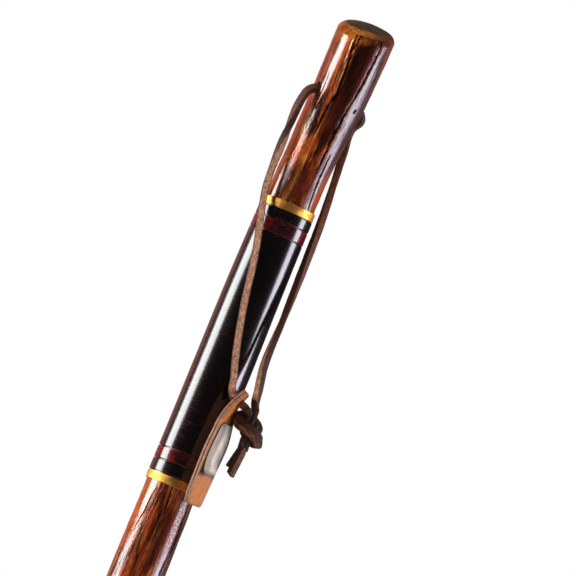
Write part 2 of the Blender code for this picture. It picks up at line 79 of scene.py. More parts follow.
# %% [markdown]
# ## The lace, as a cord
#
# The lanyard is one suede lace. It goes through the hole in the handle, hangs down on both
# sides, and both strands are tied together in one knot. The left strand also carries the tag.
# A lace is cut from a hide, so it is nearly square, one side of it is paler than the others,
# and its width is never quite even. A curve with a bevel can't vary like that, so each strand
# is a mesh tube in code: its outline is set along a smooth line, ring by ring.


# %% Smooth steps, and smooth lines through a few points
def ease(low, high, value):
    """Goes softly from 0 to 1 while the value goes from low to high."""
    t = np.clip((value - low) / (high - low), 0, 1)
    return t * t * (3 - 2 * t)


def smooth(table, at):
    """The row of a table at a place between its rows, on a smooth curve through them."""
    rows = np.array(table, float)
    where = rows[:, 0]
    slopes = np.gradient(rows[:, 1:], where, axis=0)
    i = int(np.clip(np.searchsorted(where, at) - 1, 0, len(where) - 2))
    step = where[i + 1] - where[i]
    t = (at - where[i]) / step
    return (
        (2 * t**3 - 3 * t**2 + 1) * rows[i, 1:]
        + (t**3 - 2 * t**2 + t) * step * slopes[i]
        + (3 * t**2 - 2 * t**3) * rows[i + 1, 1:]
        + (t**3 - t**2) * step * slopes[i + 1]
    )


def smooth_line(route, step):
    """Points on a smooth curve through a route's points, about a step apart."""
    route = np.array(route, float)
    runs = np.linalg.norm(np.diff(route, axis=0), axis=1)
    table = np.column_stack([np.concatenate([[0], np.cumsum(runs)]), route])
    line = []
    for start, run in zip(table[:-1, 0], runs):
        count = max(2, round(run / step))
        line += [Vector(smooth(table, start + run * k / count)) for k in range(count)]
    return line + [Vector(route[-1])]


def length_of(line):
    return sum((b - a).length for a, b in zip(line, line[1:]))


# %% The lace's way, from the middle of the hole
LEFT_EDGE = (
    (-0.02097, -0.00718, 1.35100),
    (-0.02344, -0.00884, 1.35044),
    (-0.02557, -0.01027, 1.34885),
    (-0.02707, -0.01129, 1.34643),
    (-0.02775, -0.01174, 1.34351),
)
LEFT_STRAND = (
    (-0.02858, -0.00980, 1.32500),
    (-0.02844, -0.01040, 1.30800),
    (-0.02735, -0.01240, 1.29100),
    (-0.02335, -0.01560, 1.27350),
    (-0.01955, -0.01730, 1.25900),
    (-0.01320, -0.01850, 1.22550),
    (-0.00815, -0.01870, 1.20450),
    (-0.00410, -0.01870, 1.19150),
    (0.00055, -0.01845, 1.18051),
    (0.00189, -0.01862, 1.18001),
    (0.00508, -0.01905, 1.17880),
    (0.00693, -0.01929, 1.17809),
    (0.00867, -0.01952, 1.17743),
)
RIGHT_EDGE = (
    (-0.00064, 0.00654, 1.35100),
    (0.00135, 0.00788, 1.35064),
    (0.00316, 0.00911, 1.34960),
    (0.00464, 0.01010, 1.34796),
    (0.00566, 0.01079, 1.34587),
)
RIGHT_STRAND = (
    (0.00306, 0.01390, 1.34000),
    (0.00402, 0.01330, 1.32500),
    (0.00546, 0.01090, 1.30800),
    (0.00693, 0.00460, 1.28900),
    (0.00794, -0.00320, 1.26100),
    (0.00855, -0.00960, 1.22900),
    (0.00890, -0.01380, 1.20100),
    (0.01114, -0.01725, 1.18790),
    (0.01184, -0.01725, 1.18295),
)
HOLE = Vector((-0.010336, 0, 1.351))
RING_STEP = 0.8 * MM  # from one ring of the mesh to the next
left_line = smooth_line(LEFT_EDGE + LEFT_STRAND, RING_STEP)
right_line = smooth_line(RIGHT_EDGE + RIGHT_STRAND, RING_STEP)
hole_line = smooth_line((LEFT_EDGE[0], HOLE, RIGHT_EDGE[0]), RING_STEP)
print(f"left strand {length_of(left_line):.3f} m, right strand {length_of(right_line):.3f} m")

# %% [markdown]
# The outline is a square with rounded corners. Each ring of it is turned so that the pale side
# looks the way we choose, which lets a strand twist as it hangs. An attribute, `lace`, says
# where each point was in the lace before it was bent. Every pattern on the suede gets its
# coordinates from it, so nothing slides or stretches round the bends.


# %% Write a place or a number for every point or corner
def keep(piece, name, kind, where, values):
    attribute = piece.data.attributes.new(name, kind, where)
    field = "vector" if kind == "FLOAT_VECTOR" else "value"
    attribute.data.foreach_set(field, np.asarray(values, np.float32).ravel())


# %% A lace from a line
def lace_outline(half_width, half_depth, corner, steps=3):
    """A square with rounded corners and a point in the middle of each side."""
    outline = []
    for quarter, (right, up) in enumerate(((1, 1), (-1, 1), (-1, -1), (1, -1))):
        for k in range(steps + 1):
            turn = math.radians(90 * (quarter + k / steps))
            x = right * (half_width - corner) + corner * math.cos(turn)
            y = up * (half_depth - corner) + corner * math.sin(turn)
            outline.append((x, y))
        quarter_turn = (right - up) // 2, (right + up) // 2
        outline.append((quarter_turn[0] * half_width, quarter_turn[1] * half_depth))
    return outline


def uneven(along, seed):
    """How much wider or narrower the lace was cut there, about plus or minus one."""
    return (
        0.5 * math.sin(along * 410 + seed)
        + 0.3 * math.sin(along * 973 + 2.3 * seed)
        + 0.2 * math.sin(along * 2210 + 4.1 * seed)
    )


def lace_faces(count, sides):
    """The faces of a closed tube of so many rings."""
    faces = [tuple(reversed(range(sides)))]
    for k in range(count - 1):
        for i in range(sides):
            j = (i + 1) % sides
            faces.append((k * sides + i, k * sides + j, (k + 1) * sides + j, (k + 1) * sides + i))
    return faces + [tuple((count - 1) * sides + i for i in range(sides))]


def make_lace(name, line, pale_side, outline, seed, ragged=0.03, slant=0, swell=None):
    """A closed tube with the lace's outline. pale_side(k) is where the pale side of ring k looks,
    swell(k) is how much wider and thicker that ring is, and slant tilts the last one."""
    points, straight = [], []
    along = 0.0
    last = len(line) - 1
    for k, place in enumerate(line):
        ahead = (line[min(k + 1, last)] - line[max(k - 1, 0)]).normalized()
        out = Vector(pale_side(k))
        out = (out - out.dot(ahead) * ahead).normalized()
        across = ahead.cross(out)
        if k:
            along += (place - line[k - 1]).length
        wider, thicker = swell(k) if swell else (1, 1)
        for i, (x, y) in enumerate(outline):
            x, y = x * wider, y * thicker
            grow = 1 + ragged * uneven(along, seed + 0.9 * math.sin(i * 2.1))
            tilt = ahead * slant * x if k == last else Vector()
            points.append(place + (across * x + out * y) * grow + tilt)
            straight.append((x, y, along))
    mesh = bpy.data.meshes.new(name)
    mesh.from_pydata(points, [], lace_faces(len(line), len(outline)))
    piece = bpy.data.objects.new(name, mesh)
    bpy.context.collection.objects.link(piece)
    keep(piece, "lace", "FLOAT_VECTOR", "POINT", straight)
    return piece


# %% [markdown]
# Every piece goes through the same few steps: it is drawn, its faces are turned outwards, it is
# shaded smooth, the CAD nodes that it replaces are hidden, and it is parented to an empty for the
# body that it rides on. Its finish is given later.

# %% Small helpers for every piece
ROUND = 96  # points round a turned piece


def select_only(*things):
    """Leaves edit mode and selects just these objects; the last one is active."""
    if bpy.context.mode != "OBJECT":
        bpy.ops.object.mode_set(mode="OBJECT")
    bpy.ops.object.select_all(action="DESELECT")
    for thing in things:
        thing.select_set(True)
        bpy.context.view_layer.objects.active = thing


def name_piece(name):
    """Names the object that was just made, and its mesh."""
    piece = bpy.context.object
    piece.name = piece.data.name = name
    return piece


def edit_all():
    """Enters edit mode and selects all of the piece."""
    bpy.ops.object.mode_set(mode="EDIT")
    bpy.ops.mesh.select_all(action="SELECT")


def close_piece():
    """Turns all faces outwards and leaves edit mode."""
    bpy.ops.mesh.select_all(action="SELECT")
    bpy.ops.mesh.normals_make_consistent(inside=False)
    bpy.ops.object.mode_set(mode="OBJECT")


def extrude_through(profile, way, extrude=bpy.ops.mesh.extrude_region_move):
    """Carries the selected ring along a way, through places of how far and how wide."""
    for (far, wide), (farther, wider) in zip(profile, profile[1:]):
        extrude(TRANSFORM_OT_translate={"value": way * (farther - far)})
        bpy.ops.transform.resize(value=(wider / wide,) * 3)


def place_piece(piece, body, nodes, sharp=40):
    """Sets the origin at the frame's, shades the piece smooth and lets it ride on its body."""
    select_only(piece)
    bpy.ops.object.transform_apply(location=True, rotation=True, scale=True)
    edit_all()
    close_piece()
    bpy.ops.object.shade_smooth_by_angle(angle=math.radians(sharp))
    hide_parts(*nodes)
    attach(piece, body)
    print(f"{piece.name}: {len(piece.data.polygons)} faces, on {body}")
    return piece


# %% The two strands and the part in the hole
SQUARE = lace_outline(1.95 * MM, 1.8 * MM, 0.55 * MM)


def facing(degrees):
    """A level direction, so many degrees from the front round to the right."""
    return Matrix.Rotation(math.radians(degrees), 3, "Z") @ Vector((0, -1, 0))


def left_pale(k):
    """The left strand shows its dark side at the hole, its pale side below it, and its dark side
    again where it comes out of the tag."""
    share = ease(12 * MM, 57 * MM, length_of(left_line[: k + 1]))
    share *= min(max((length_of(left_line[k:]) - 7 * MM) / (3 * MM), 0), 1)
    return facing(150 - 150 * share)


def right_pale(k):
    """The right strand shows its dark side, and its pale side comes round towards the knot."""
    return facing(150 + 180 * (k / (len(right_line) - 1)) ** 1.4)


def hole_pale(k):
    return left_pale(0).lerp(right_pale(0), k / (len(hole_line) - 1))


strand_left = make_lace("lace_left_suede", left_line, left_pale, SQUARE, 0.4)
strand_right = make_lace("lace_right_suede", right_line, right_pale, SQUARE, 2.2)
strand_hole = make_lace("lace_in_hole_suede", hole_line, hole_pale, SQUARE, 1.1)
place_piece(strand_left, "lanyard", ["lace_left"])
place_piece(strand_right, "lanyard", ["lace_right"])
place_piece(strand_hole, "lanyard", ["lace_in_hole"])

# %% [markdown]
# ## The overhand knot
#
# Both strands together make one overhand knot. Its line is a sum of a few waves, the same ones
# that the CAD model uses, and it goes once and a half round itself without touching. Here the
# two strands are drawn one by one, side by side along that line, with a crease between them.

# %% The knot's line
KNOT_PLACE = Vector((0.013953, -0.017200, 1.168))
BUNCH = 5.05 * MM  # the two strands together
KNOT_RIGHT = (0.27, -0.34, -0.89, -0.14, 0.13)
KNOT_BACK = (0.33, 0.88, 0.34, -0.12)
KNOT_UP = (-2.38, 2.04, 0.11, 0.02, -0.15)
knot_turn = Matrix.Rotation(math.radians(-8), 3, "Y") @ Matrix.Rotation(math.radians(70), 3, "Z")


def knot_point(u):
    """A place on the knot's line, from its upper end (-1) to its lower end (1)."""
    right = sum(a * math.cos(n * math.pi * u) for n, a in enumerate(KNOT_RIGHT))
    back = sum(a * math.sin(n * math.pi * u) for n, a in enumerate(KNOT_BACK, 1))
    up = KNOT_UP[0] * u + sum(a * math.sin(n * math.pi * u) for n, a in enumerate(KNOT_UP[1:], 1))
    return Vector((right, back, up))


knot_line = [knot_point(2 * k / 150 - 1) for k in range(151)]
for step_up in (0.27, 0.28):
    knot_line.insert(0, knot_line[0] + Vector((0, 0, step_up)))
knot_line = [KNOT_PLACE + knot_turn @ (point * BUNCH) for point in knot_line]

knot_side = [Vector((1, 0, 0))]
for before, after in zip(knot_line, knot_line[1:]):
    ahead = (after - before).normalized()
    side = knot_side[-1] - knot_side[-1].dot(ahead) * ahead
    knot_side.append(side.normalized())
print(f"knot line {length_of(knot_line) / MM:.1f} mm")

# %% [markdown]
# The left strand comes out of the tag's hole and turns down into the knot, and the right strand
# comes into it from above. So each strand of the knot starts inside the end of its own lace and
# is squeezed from the lace's square section to half of the bunch on the way in.

# %% Two strands, side by side
BESIDE = 1.35 * MM  # from the knot's line to the middle of each strand
FLATTENED = lace_outline(2.5 * MM, 1.62 * MM, 1.1 * MM, steps=4)


def knot_strand(name, entry, entry_out, joins_at, side, squeezed_by):
    """One strand of the knot: its way in, then its side of the knot's line."""
    inwards = knot_side[joins_at] * -side
    line = [Vector(point) * MM for point in entry]
    outs = [Vector(entry_out).lerp(inwards, k / len(entry)) for k in range(len(entry))]
    for k in range(joins_at, len(knot_line)):
        line.append(knot_line[k] + knot_side[k] * side * BESIDE)
        outs.append(knot_side[k] * -side)
    line[1:-1] = [
        (a + 2 * b + c) / 4 if k < len(entry) + 4 else b
        for k, (a, b, c) in enumerate(zip(line, line[1:], line[2:]))
    ]

    def swell(k):
        share = max(1 - k / squeezed_by, 0)
        at_end = max(1 - (len(line) - 1 - k) / 12, 0)
        wider = (1 - 0.20 * share) * (1 - 0.30 * at_end)
        return wider, (1 + 0.20 * min(1.6 * share, 1)) * (1 - 0.12 * at_end)

    return make_lace(
        name, line, lambda k: outs[k], FLATTENED, seed=5.0 + side, ragged=0.08, swell=swell
    )


# %% Tie the knot
LEFT_WAY_IN = (
    (7.9, -19.42, 1177.75), (8.7, -19.45, 1177.45), (9.5, -19.3, 1177.15),
    (10.3, -18.95, 1176.75), (10.9, -18.4, 1176.2), (11.3, -17.8, 1175.5),
)
RIGHT_WAY_IN = (
    (11.78, -17.25, 1183.5), (11.9, -17.25, 1182.7), (12.1, -17.25, 1181.9),
    (12.4, -17.25, 1181.0), (12.8, -17.25, 1180.1), (13.2, -17.25, 1179.3),
)
select_only(
    knot_strand("knot_strand_left", LEFT_WAY_IN, (0.3, 0, 1), 10, -1, 8),
    knot_strand("knot_strand_right", RIGHT_WAY_IN, (-0.87, 0.5, 0), 4, 1, 15),
)
bpy.ops.object.join()
knot = name_piece("lace_knot_suede")
for point in knot.data.vertices:  # the tag beside it keeps its left side a little flat
    point.co.x += 0.18 * max(7 * MM - point.co.x, 0)
place_piece(knot, "lanyard", ["lace_knot"])

# %% The two tails
TAILS = (
    # node, start, end, slant of the cut
    ("lace_tail_long", (0.016983, -0.018890, 1.155160), (0.014441, -0.018930, 1.141817), 0.35),
    ("lace_tail_short", (0.014523, -0.015610, 1.155160), (0.012734, -0.015638, 1.145770), -0.3),
)
IN_KNOT = Vector((0.0152, -0.01725, 1.1595))
TAIL_OUTLINE = lace_outline(1.9 * MM, 1.6 * MM, 0.5 * MM)


def widening(k):
    """A tail is narrow where the knot grips it."""
    return min(0.7 + k * 0.06, 1.08), min(0.7 + k * 0.06, 1)


tails = []
for name, start, end, slant in TAILS:
    start, end = Vector(start).lerp(IN_KNOT, 0.62), Vector(end)
    line = [start.lerp(end, k / 30) for k in range(31)]
    tail = make_lace(
        name + "_suede",
        line,
        lambda k: (-0.5, 0.6, 0),
        TAIL_OUTLINE,
        seed=3.0 + slant,
        ragged=0.05,
        slant=slant,
        swell=widening,
    )
    tails.append(place_piece(tail, "lanyard", [name]))

# %% [markdown]
# The two strands between the hole and the knot hang free. The lengths of the lines that they
# hang in are worked out here.

round(length_of(left_line), 4)
round(length_of(right_line), 4)

# %% [markdown]
# ## The stick
#
# Nothing on a natural stick is straight, but it is easiest to model it straight. A plain rod is
# divided into rings, its top edge is rounded, and then every point is carried over to the real
# stick: the course says how wide the stick is and how far it bows at each height. The top is
# sawn off at a slant, so the last rings lean to the front.

# %% The course of the stick
COURSE = (
    # height, radius, bow to the right, bow to the back, in mm
    (0, 12.0, 0.0, 0.0),
    (42, 12.05, 0.0, 0.0),
    (132, 12.1, -0.9, 0.8),
    (270, 12.3, -3.6, 2.0),
    (530, 13.5, -6.3, 4.0),
    (668, 14.1, -7.4, 3.0),
    (829, 14.8, -9.8, 0.8),
    (882, 14.3, -9.9, -0.2),
    (963, 14.45, -9.8, -1.0),
    (1106, 14.6, -11.4, 0.0),
    (1128, 14.1, -11.7, 0.0),
    (1192, 14.7, -11.5, 0.0),
    (1234, 14.5, -12.1, 0.0),
    (1285, 14.1, -12.2, 0.0),
    (1310, 14.3, -11.9, 0.0),
    (1330, 15.3, -11.3, 0.0),
    (1352, 16.1, -10.3, 0.0),
    (1397, 16.9, -9.8, 0.0),
)
STAFF_LENGTH = 1.397
FOOT_TOP = 0.037
BAND_LOW, BAND_HIGH = 1.1243, 1.2880  # with its rings
STRAIGHT = 15 * MM  # radius of the straight rod that becomes the stick
GAP = 0.3 * MM  # between pieces, as in the CAD
CROWN = 1.392466  # middle of the slanted top
SLOPE = math.tan(math.radians(18))
course_at = {}


def course(z):
    """Radius, bow to the right and bow to the back at a height, in metres."""
    key = round(z, 6)
    if key not in course_at:
        course_at[key] = smooth(COURSE, z * 1000) * MM
    return course_at[key]


# %% Read and write a mesh's points
def read_points(piece):
    points = np.zeros(len(piece.data.vertices) * 3)
    piece.data.vertices.foreach_get("co", points)
    return points.reshape(-1, 3)


def write_points(piece, points):
    piece.data.vertices.foreach_set("co", points.ravel())
    piece.data.update()


def round_rod(points):
    """The stick's course beside each point, and the point's angle round the straight rod."""
    rows = np.array([course(z) for z in points[:, 2]])
    return rows, np.arctan2(points[:, 0], -points[:, 1])


# %% Choose parts of a mesh by where they are
def choose(piece, kind, test):
    """Selects the edges or the faces that pass a test, in edit mode."""
    bpy.ops.object.mode_set(mode="OBJECT")
    mesh = piece.data
    for part in (mesh.vertices, mesh.edges, mesh.polygons):
        part.foreach_set("select", np.zeros(len(part), bool))
    if kind == "FACE":
        for face in mesh.polygons:
            face.select = bool(test(face.center, face.normal))
    else:
        for edge in mesh.edges:
            edge.select = bool(test(*(mesh.vertices[i].co for i in edge.vertices)))
    bpy.context.tool_settings.mesh_select_mode = (False, kind == "EDGE", kind == "FACE")
    bpy.ops.object.mode_set(mode="EDIT")


CLOSE = 0.001 * MM


def upright_between(low, high, reach=None):
    """A test for the upright edges of a rod between two heights."""

    def test(a, b):
        upright = abs(a.z - b.z) > CLOSE and math.hypot(a.x - b.x, a.y - b.y) < CLOSE
        inside = low - CLOSE <= min(a.z, b.z) and max(a.z, b.z) <= high + CLOSE
        near = reach is None or abs(math.hypot(a.x, a.y) - reach) < 10 * CLOSE
        return upright and inside and near

    return test


# %% Model the straight rod
ROD_FOOT = 8.2 * MM
CROWN_ROUND = 3.5 * MM  # rounding of the top edge
select_only()
bpy.ops.mesh.primitive_cylinder_add(
    vertices=ROUND,
    radius=STRAIGHT,
    depth=CROWN - ROD_FOOT,
    location=(0, 0, (CROWN + ROD_FOOT) / 2),
    end_fill_type="NGON",
)
stick = name_piece("shaft_wood")
bpy.ops.object.transform_apply(location=True)
choose(stick, "EDGE", lambda a, b: min(a.z, b.z) > CROWN - CLOSE)
bpy.ops.mesh.bevel(offset=CROWN_ROUND, segments=7, profile=0.5, affect="EDGES")
choose(stick, "FACE", lambda middle, normal: middle.z > CROWN - CLOSE and normal.z > 0.99)
for k in range(7):
    bpy.ops.mesh.inset(thickness=1.3 * MM)
for cuts in (13, 39):
    choose(stick, "EDGE", upright_between(ROD_FOOT, CROWN - CROWN_ROUND))
    bpy.ops.mesh.subdivide(number_cuts=cuts)
bpy.ops.object.mode_set(mode="OBJECT")
print(f"rod: {len(stick.data.vertices)} points")

# %% [markdown]
# The rod gets its natural shape in one step. Slow waves round it keep it from being a perfect
# circle, a soft swelling stands over each healed branch knot, and the left side of the handle
# is a little flat.

# %% Give the rod its course and its swellings
SWELLINGS = (
    # height, degrees from the front, rise, half height, half width, in mm
    (963, 88, 1.9, 15, 11),
    (944, 27, 0.5, 8, 6),
    (826, -29, 0.7, 10, 7),
    (797, -27, 0.4, 6, 5),
    (729, 25, 0.6, 7, 6),
    (282, 0, 0.5, 7, 5),
)
points = read_points(stick)
z = points[:, 2].copy()
rows, angle = round_rod(points)
share = np.hypot(points[:, 0], points[:, 1]) / STRAIGHT
turn = 7 * z / STAFF_LENGTH
lobes = np.cos(2 * angle - turn) + 0.5 * np.cos(3 * angle + 1.7 * turn)
clear = ease(FOOT_TOP, FOOT_TOP + 60 * MM, z) * (1 - ease(BAND_LOW - 40 * MM, BAND_LOW, z))
clear += ease(BAND_HIGH, BAND_HIGH + 40 * MM, z)
reach = share * rows[:, 0] * (1 + 0.016 * clear * lobes)
left_side = ease(math.radians(-28), math.radians(-66), angle)
left_side *= ease(math.radians(-150), math.radians(-110), angle)
reach -= share * 0.75 * MM * left_side * ease(1.300, 1.330, z)
for height, degrees, rise, half_height, half_width in SWELLINGS:
    across = (angle - math.radians(degrees) + math.pi) % (2 * math.pi) - math.pi
    across *= rows[:, 0] / (half_width * MM)
    up = (z - height * MM) / (half_height * MM)
    reach += share * rise * MM * np.exp(-(up**2) - across**2)

# %% Slant its top, and wear the rim down most at the front and left, where a hand rubs it
lean = SLOPE * ease(CROWN - 34 * MM, CROWN - 6 * MM, z)
back = -reach * np.cos(angle)
toward_hand = 0.5 + 0.5 * np.cos(angle + math.radians(40))
worn = ease(5.5 * MM, 16.5 * MM, reach) * ease(CROWN - 16 * MM, CROWN, z)
points[:, 0] = rows[:, 1] + reach * np.sin(angle)
points[:, 1] = rows[:, 2] + back
points[:, 2] = z + lean * back - 3.0 * MM * worn * toward_hand
write_points(stick, points)
print(f"top of the stick at {points[:, 2].max():.4f} m")

# %% [markdown]
# The varnish has filled the bark's small hollows, but the surface still rolls a little, which
# breaks up its long highlights. A Displace modifier with a cloud texture does that. It only
# sinks the surface, so that the lace and the rings still clear it.


# %% Modifiers, applied at once
def apply_modifier(piece, kind, **settings):
    select_only(piece)
    modifier = piece.modifiers.new(kind, kind)
    for name, value in settings.items():
        setattr(modifier, name, value)
    bpy.ops.object.modifier_apply(modifier=modifier.name)


def cut_away(piece, tool):
    """Takes the tool's shape out of the piece, and removes the tool."""
    apply_modifier(piece, "BOOLEAN", operation="DIFFERENCE", object=tool)
    bpy.data.objects.remove(tool)


# %% Let the surface roll
rolling = bpy.data.textures.new("bark hollows", "CLOUDS")
rolling.noise_scale = 0.011
rolling.noise_depth = 2
open_bark = stick.vertex_groups.new(name="open bark")
heights = read_points(stick)[:, 2]
for low, high in ((FOOT_TOP + 2 * MM, BAND_LOW - 2.3 * MM), (BAND_HIGH + 2 * MM, 1.40)):
    inside = np.nonzero((heights > low) & (heights < high))[0]
    open_bark.add([int(i) for i in inside], 1.0, "ADD")
apply_modifier(
    stick,
    "DISPLACE",
    texture=rolling,
    texture_coords="LOCAL",
    mid_level=1.0,
    strength=0.42 * MM,
    vertex_group="open bark",
)
print("surface sunk by up to 0.4 mm")

# %% Drill the hole for the lace
HOLE_TURN = math.radians(34)
HOLE_RADIUS = 3.4 * MM
MOUTH = 1.5 * MM  # rounding of the hole's edge
hole_way = Vector((math.cos(HOLE_TURN), math.sin(HOLE_TURN), 0))
side = course(HOLE.z)[0]
half_drill = []
for k in range(9):
    turn = k * math.pi / 16
    wider = HOLE_RADIUS + MOUTH * (1 - math.cos(turn))
    half_drill.append((side - MOUTH * (1 - math.sin(turn)), wider))
half_drill.append((side + 2 * MOUTH, HOLE_RADIUS + MOUTH))
drill_profile = [(-far, wide) for far, wide in reversed(half_drill)] + half_drill

select_only()
far, wide = drill_profile[0]
bpy.ops.mesh.primitive_circle_add(
    vertices=48,
    radius=wide,
    fill_type="NGON",
    location=HOLE + hole_way * far,
    rotation=(0, math.pi / 2, HOLE_TURN),
)
drill = bpy.context.object
edit_all()
extrude_through(drill_profile, hole_way)
close_piece()
cut_away(stick, drill)
print(f"hole drilled, {len(stick.data.polygons)} faces")

# %% [markdown]
# Patterns that belong to the bark need to know where they are on it. Each face corner gets an
# attribute, `bark`: how far it is round the stick from the front, and how high up, in metres.


# %% Measure round the stick
def measure_bark(piece):
    """Writes the arc from the front, round to the right, and the height, at every corner."""
    mesh = piece.data
    points = read_points(piece)
    rows = np.array([course(min(max(z, 0), STAFF_LENGTH)) for z in points[:, 2]])
    angle = np.arctan2(points[:, 0] - rows[:, 1], rows[:, 2] - points[:, 1])
    corner_points = np.zeros(len(mesh.loops), np.int64)
    mesh.loops.foreach_get("vertex_index", corner_points)
    turned = angle[corner_points]
    # A face across the back counts on past half a turn, so that no pattern breaks there
    starts = np.zeros(len(mesh.polygons), np.int64)
    mesh.polygons.foreach_get("loop_start", starts)
    high = np.maximum.reduceat(turned, starts)
    low = np.minimum.reduceat(turned, starts)
    owner = np.repeat(np.arange(len(starts)), np.diff(np.append(starts, len(turned))))
    across_back = (high - low > math.pi)[owner] & (turned < 0)
    turned = turned + 2 * math.pi * across_back
    places = np.zeros((len(turned), 3), np.float32)
    places[:, 0] = turned * STRAIGHT
    places[:, 2] = points[corner_points, 2]
    keep(piece, "bark", "FLOAT_VECTOR", "CORNER", places)


measure_bark(stick)
place_piece(stick, "staff", ["shaft"], sharp=50)

# %% [markdown]
# ## The grip band
#
# Five windings of waxed thread lie between two brass rings, black, red, black, red, black, under
# a thick clear coat. Each is a sleeve: a wall drawn by extruding a circle round its section,
# merged where it meets itself, and laid on the stick. On the windings the outer wall is then
# divided into fine rings, so that each turn of thread can stand up a little under the coat.


# %% A sleeve round the straight rod
UP = Vector((0, 0, 1))


def draw_sleeve(name, top, bottom, wall, edge, rings):
    """A closed wall with rounded shoulders; rings says how its outer face is divided."""
    inner, outer = STRAIGHT + GAP, STRAIGHT + GAP + wall
    turns = [math.radians(90 * k / 4) for k in range(5)]
    round_off = [(edge * (1 - math.sin(turn)), edge * (1 - math.cos(turn))) for turn in turns]
    section = [(bottom, inner), (bottom, outer - edge)]
    section += [(bottom + rise, outer - narrow) for narrow, rise in round_off[1:]]
    section += [(top - drop, outer - narrow) for drop, narrow in round_off]
    section += [(top, inner), (bottom, inner)]
    select_only()
    bpy.ops.mesh.primitive_circle_add(vertices=ROUND, radius=inner, location=(0, 0, 0))
    piece = name_piece(name)
    edit_all()
    bpy.ops.transform.translate(value=UP * bottom)
    extrude_through(section, UP)
    bpy.ops.mesh.select_all(action="SELECT")
    bpy.ops.mesh.remove_doubles(threshold=CLOSE)
    for cuts in rings:
        choose(piece, "EDGE", upright_between(bottom + edge, top - edge, outer))
        bpy.ops.mesh.subdivide(number_cuts=cuts)
    bpy.ops.object.mode_set(mode="OBJECT")
    return piece


def lay_on_stick(piece, ripple=None):
    """Every point keeps its height and its distance from the rod's surface."""
    points = read_points(piece)
    rows, angle = round_rod(points)
    off = np.hypot(points[:, 0], points[:, 1]) - STRAIGHT
    if ripple:
        off = off + ripple(points[:, 2], angle, off)
    reach = rows[:, 0] + off
    points[:, 0] = rows[:, 1] + reach * np.sin(angle)
    points[:, 1] = rows[:, 2] - reach * np.cos(angle)
    write_points(piece, points)
    measure_bark(piece)


# %% The brass rings
brass_rings = []
for name, bottom in (("ring_upper", BAND_HIGH - 4.7 * MM), ("ring_lower", BAND_LOW)):
    ring = draw_sleeve(name + "_brass", bottom + 4.7 * MM, bottom, 0.7 * MM, 0.35 * MM, [])
    lay_on_stick(ring)
    brass_rings.append(place_piece(ring, "staff", [name], sharp=60))

# %% The thread windings
WRAP = 0.8 * MM
THREAD = 1.25 * MM  # from one turn of thread to the next


def turns_of_thread(z, angle, off):
    """The relief of the turns: it shows most near the ends of the band."""
    outside = ease(WRAP - 0.1 * MM, WRAP + GAP - 0.02 * MM, off)
    near_end = 1 - ease(1.135, 1.175, z) * (1 - ease(1.262, 1.28, z))
    slow = 0.5 + 0.5 * np.sin(z * 190 + 1.3 * np.sin(angle * 2))
    height = (0.010 + 0.035 * near_end + 0.012 * slow) * MM
    return -outside * height * (0.5 + 0.5 * np.cos(2 * math.pi * z / THREAD - angle))


WINDINGS = (
    ("winding_top_black", 1.2830, 1.2773, "black_thread", [19]),
    ("winding_top_red", 1.2770, 1.2698, "red_thread", [23]),
    ("winding_middle_black", 1.2695, 1.1431, "black_thread", [9, 39]),
    ("winding_bottom_red", 1.1428, 1.1361, "red_thread", [21]),
    ("winding_bottom_black", 1.1358, 1.1293, "black_thread", [20]),
)
windings = []
for name, top, bottom, finish, rings in WINDINGS:
    winding = draw_sleeve(name + "_thread", top, bottom, WRAP, 0.5 * MM, rings)
    lay_on_stick(winding, turns_of_thread)
    windings.append(place_piece(winding, "staff", [name], sharp=60))

# %% [markdown]
# ## The tag
#
# The tag is two layers of thick leather, glued together, with a pale blank plate on its face. It
# is cut out flat, as a leather worker would cut it: a plane with rounded corners, divided into
# small squares, raised to its thickness, punched with a hole, and its edges rubbed round. Then it
# is bent to the curl that it has in the photograph.

# %% How the tag hangs
TAG_PLACE = Vector((0.003222, -0.0188, 1.1795))
TAG_LENGTH = 66 * MM
TAG_WIDTH = 19 * MM
TAG_LEATHER = 1.25 * MM
HOLE_DROP = 5.8 * MM
TAG_CURL = (
    # share of the way down, shift to the right in mm, turn of its width to the back in degrees
    (0.0, 2.9, 85),
    (0.1, 0.0, 82),
    (0.2, -1.5, 77),
    (0.3, -1.6, 68),
    (0.42, -1.4, 60),
    (0.7, -1.6, 60),
    (1.0, -1.0, 68),
)


def tag_frame(share):
    """Middle, width direction and face direction of the tag, a share of the way down."""
    shift, degrees = smooth(TAG_CURL, share)
    at_hole = smooth(TAG_CURL, HOLE_DROP / TAG_LENGTH)[0]
    middle = TAG_PLACE + Vector(((shift - at_hole) * MM, 0, HOLE_DROP - share * TAG_LENGTH))
    ahead = (smooth(TAG_CURL, share + 0.01)[0] - smooth(TAG_CURL, share - 0.01)[0]) * MM
    run = Vector((ahead, 0, -0.02 * TAG_LENGTH)).normalized()
    turn = math.radians(degrees)
    width = Vector((math.cos(turn), math.sin(turn), 0))
    width = (width - width.dot(run) * run).normalized()
    return middle, width, run.cross(width).normalized()


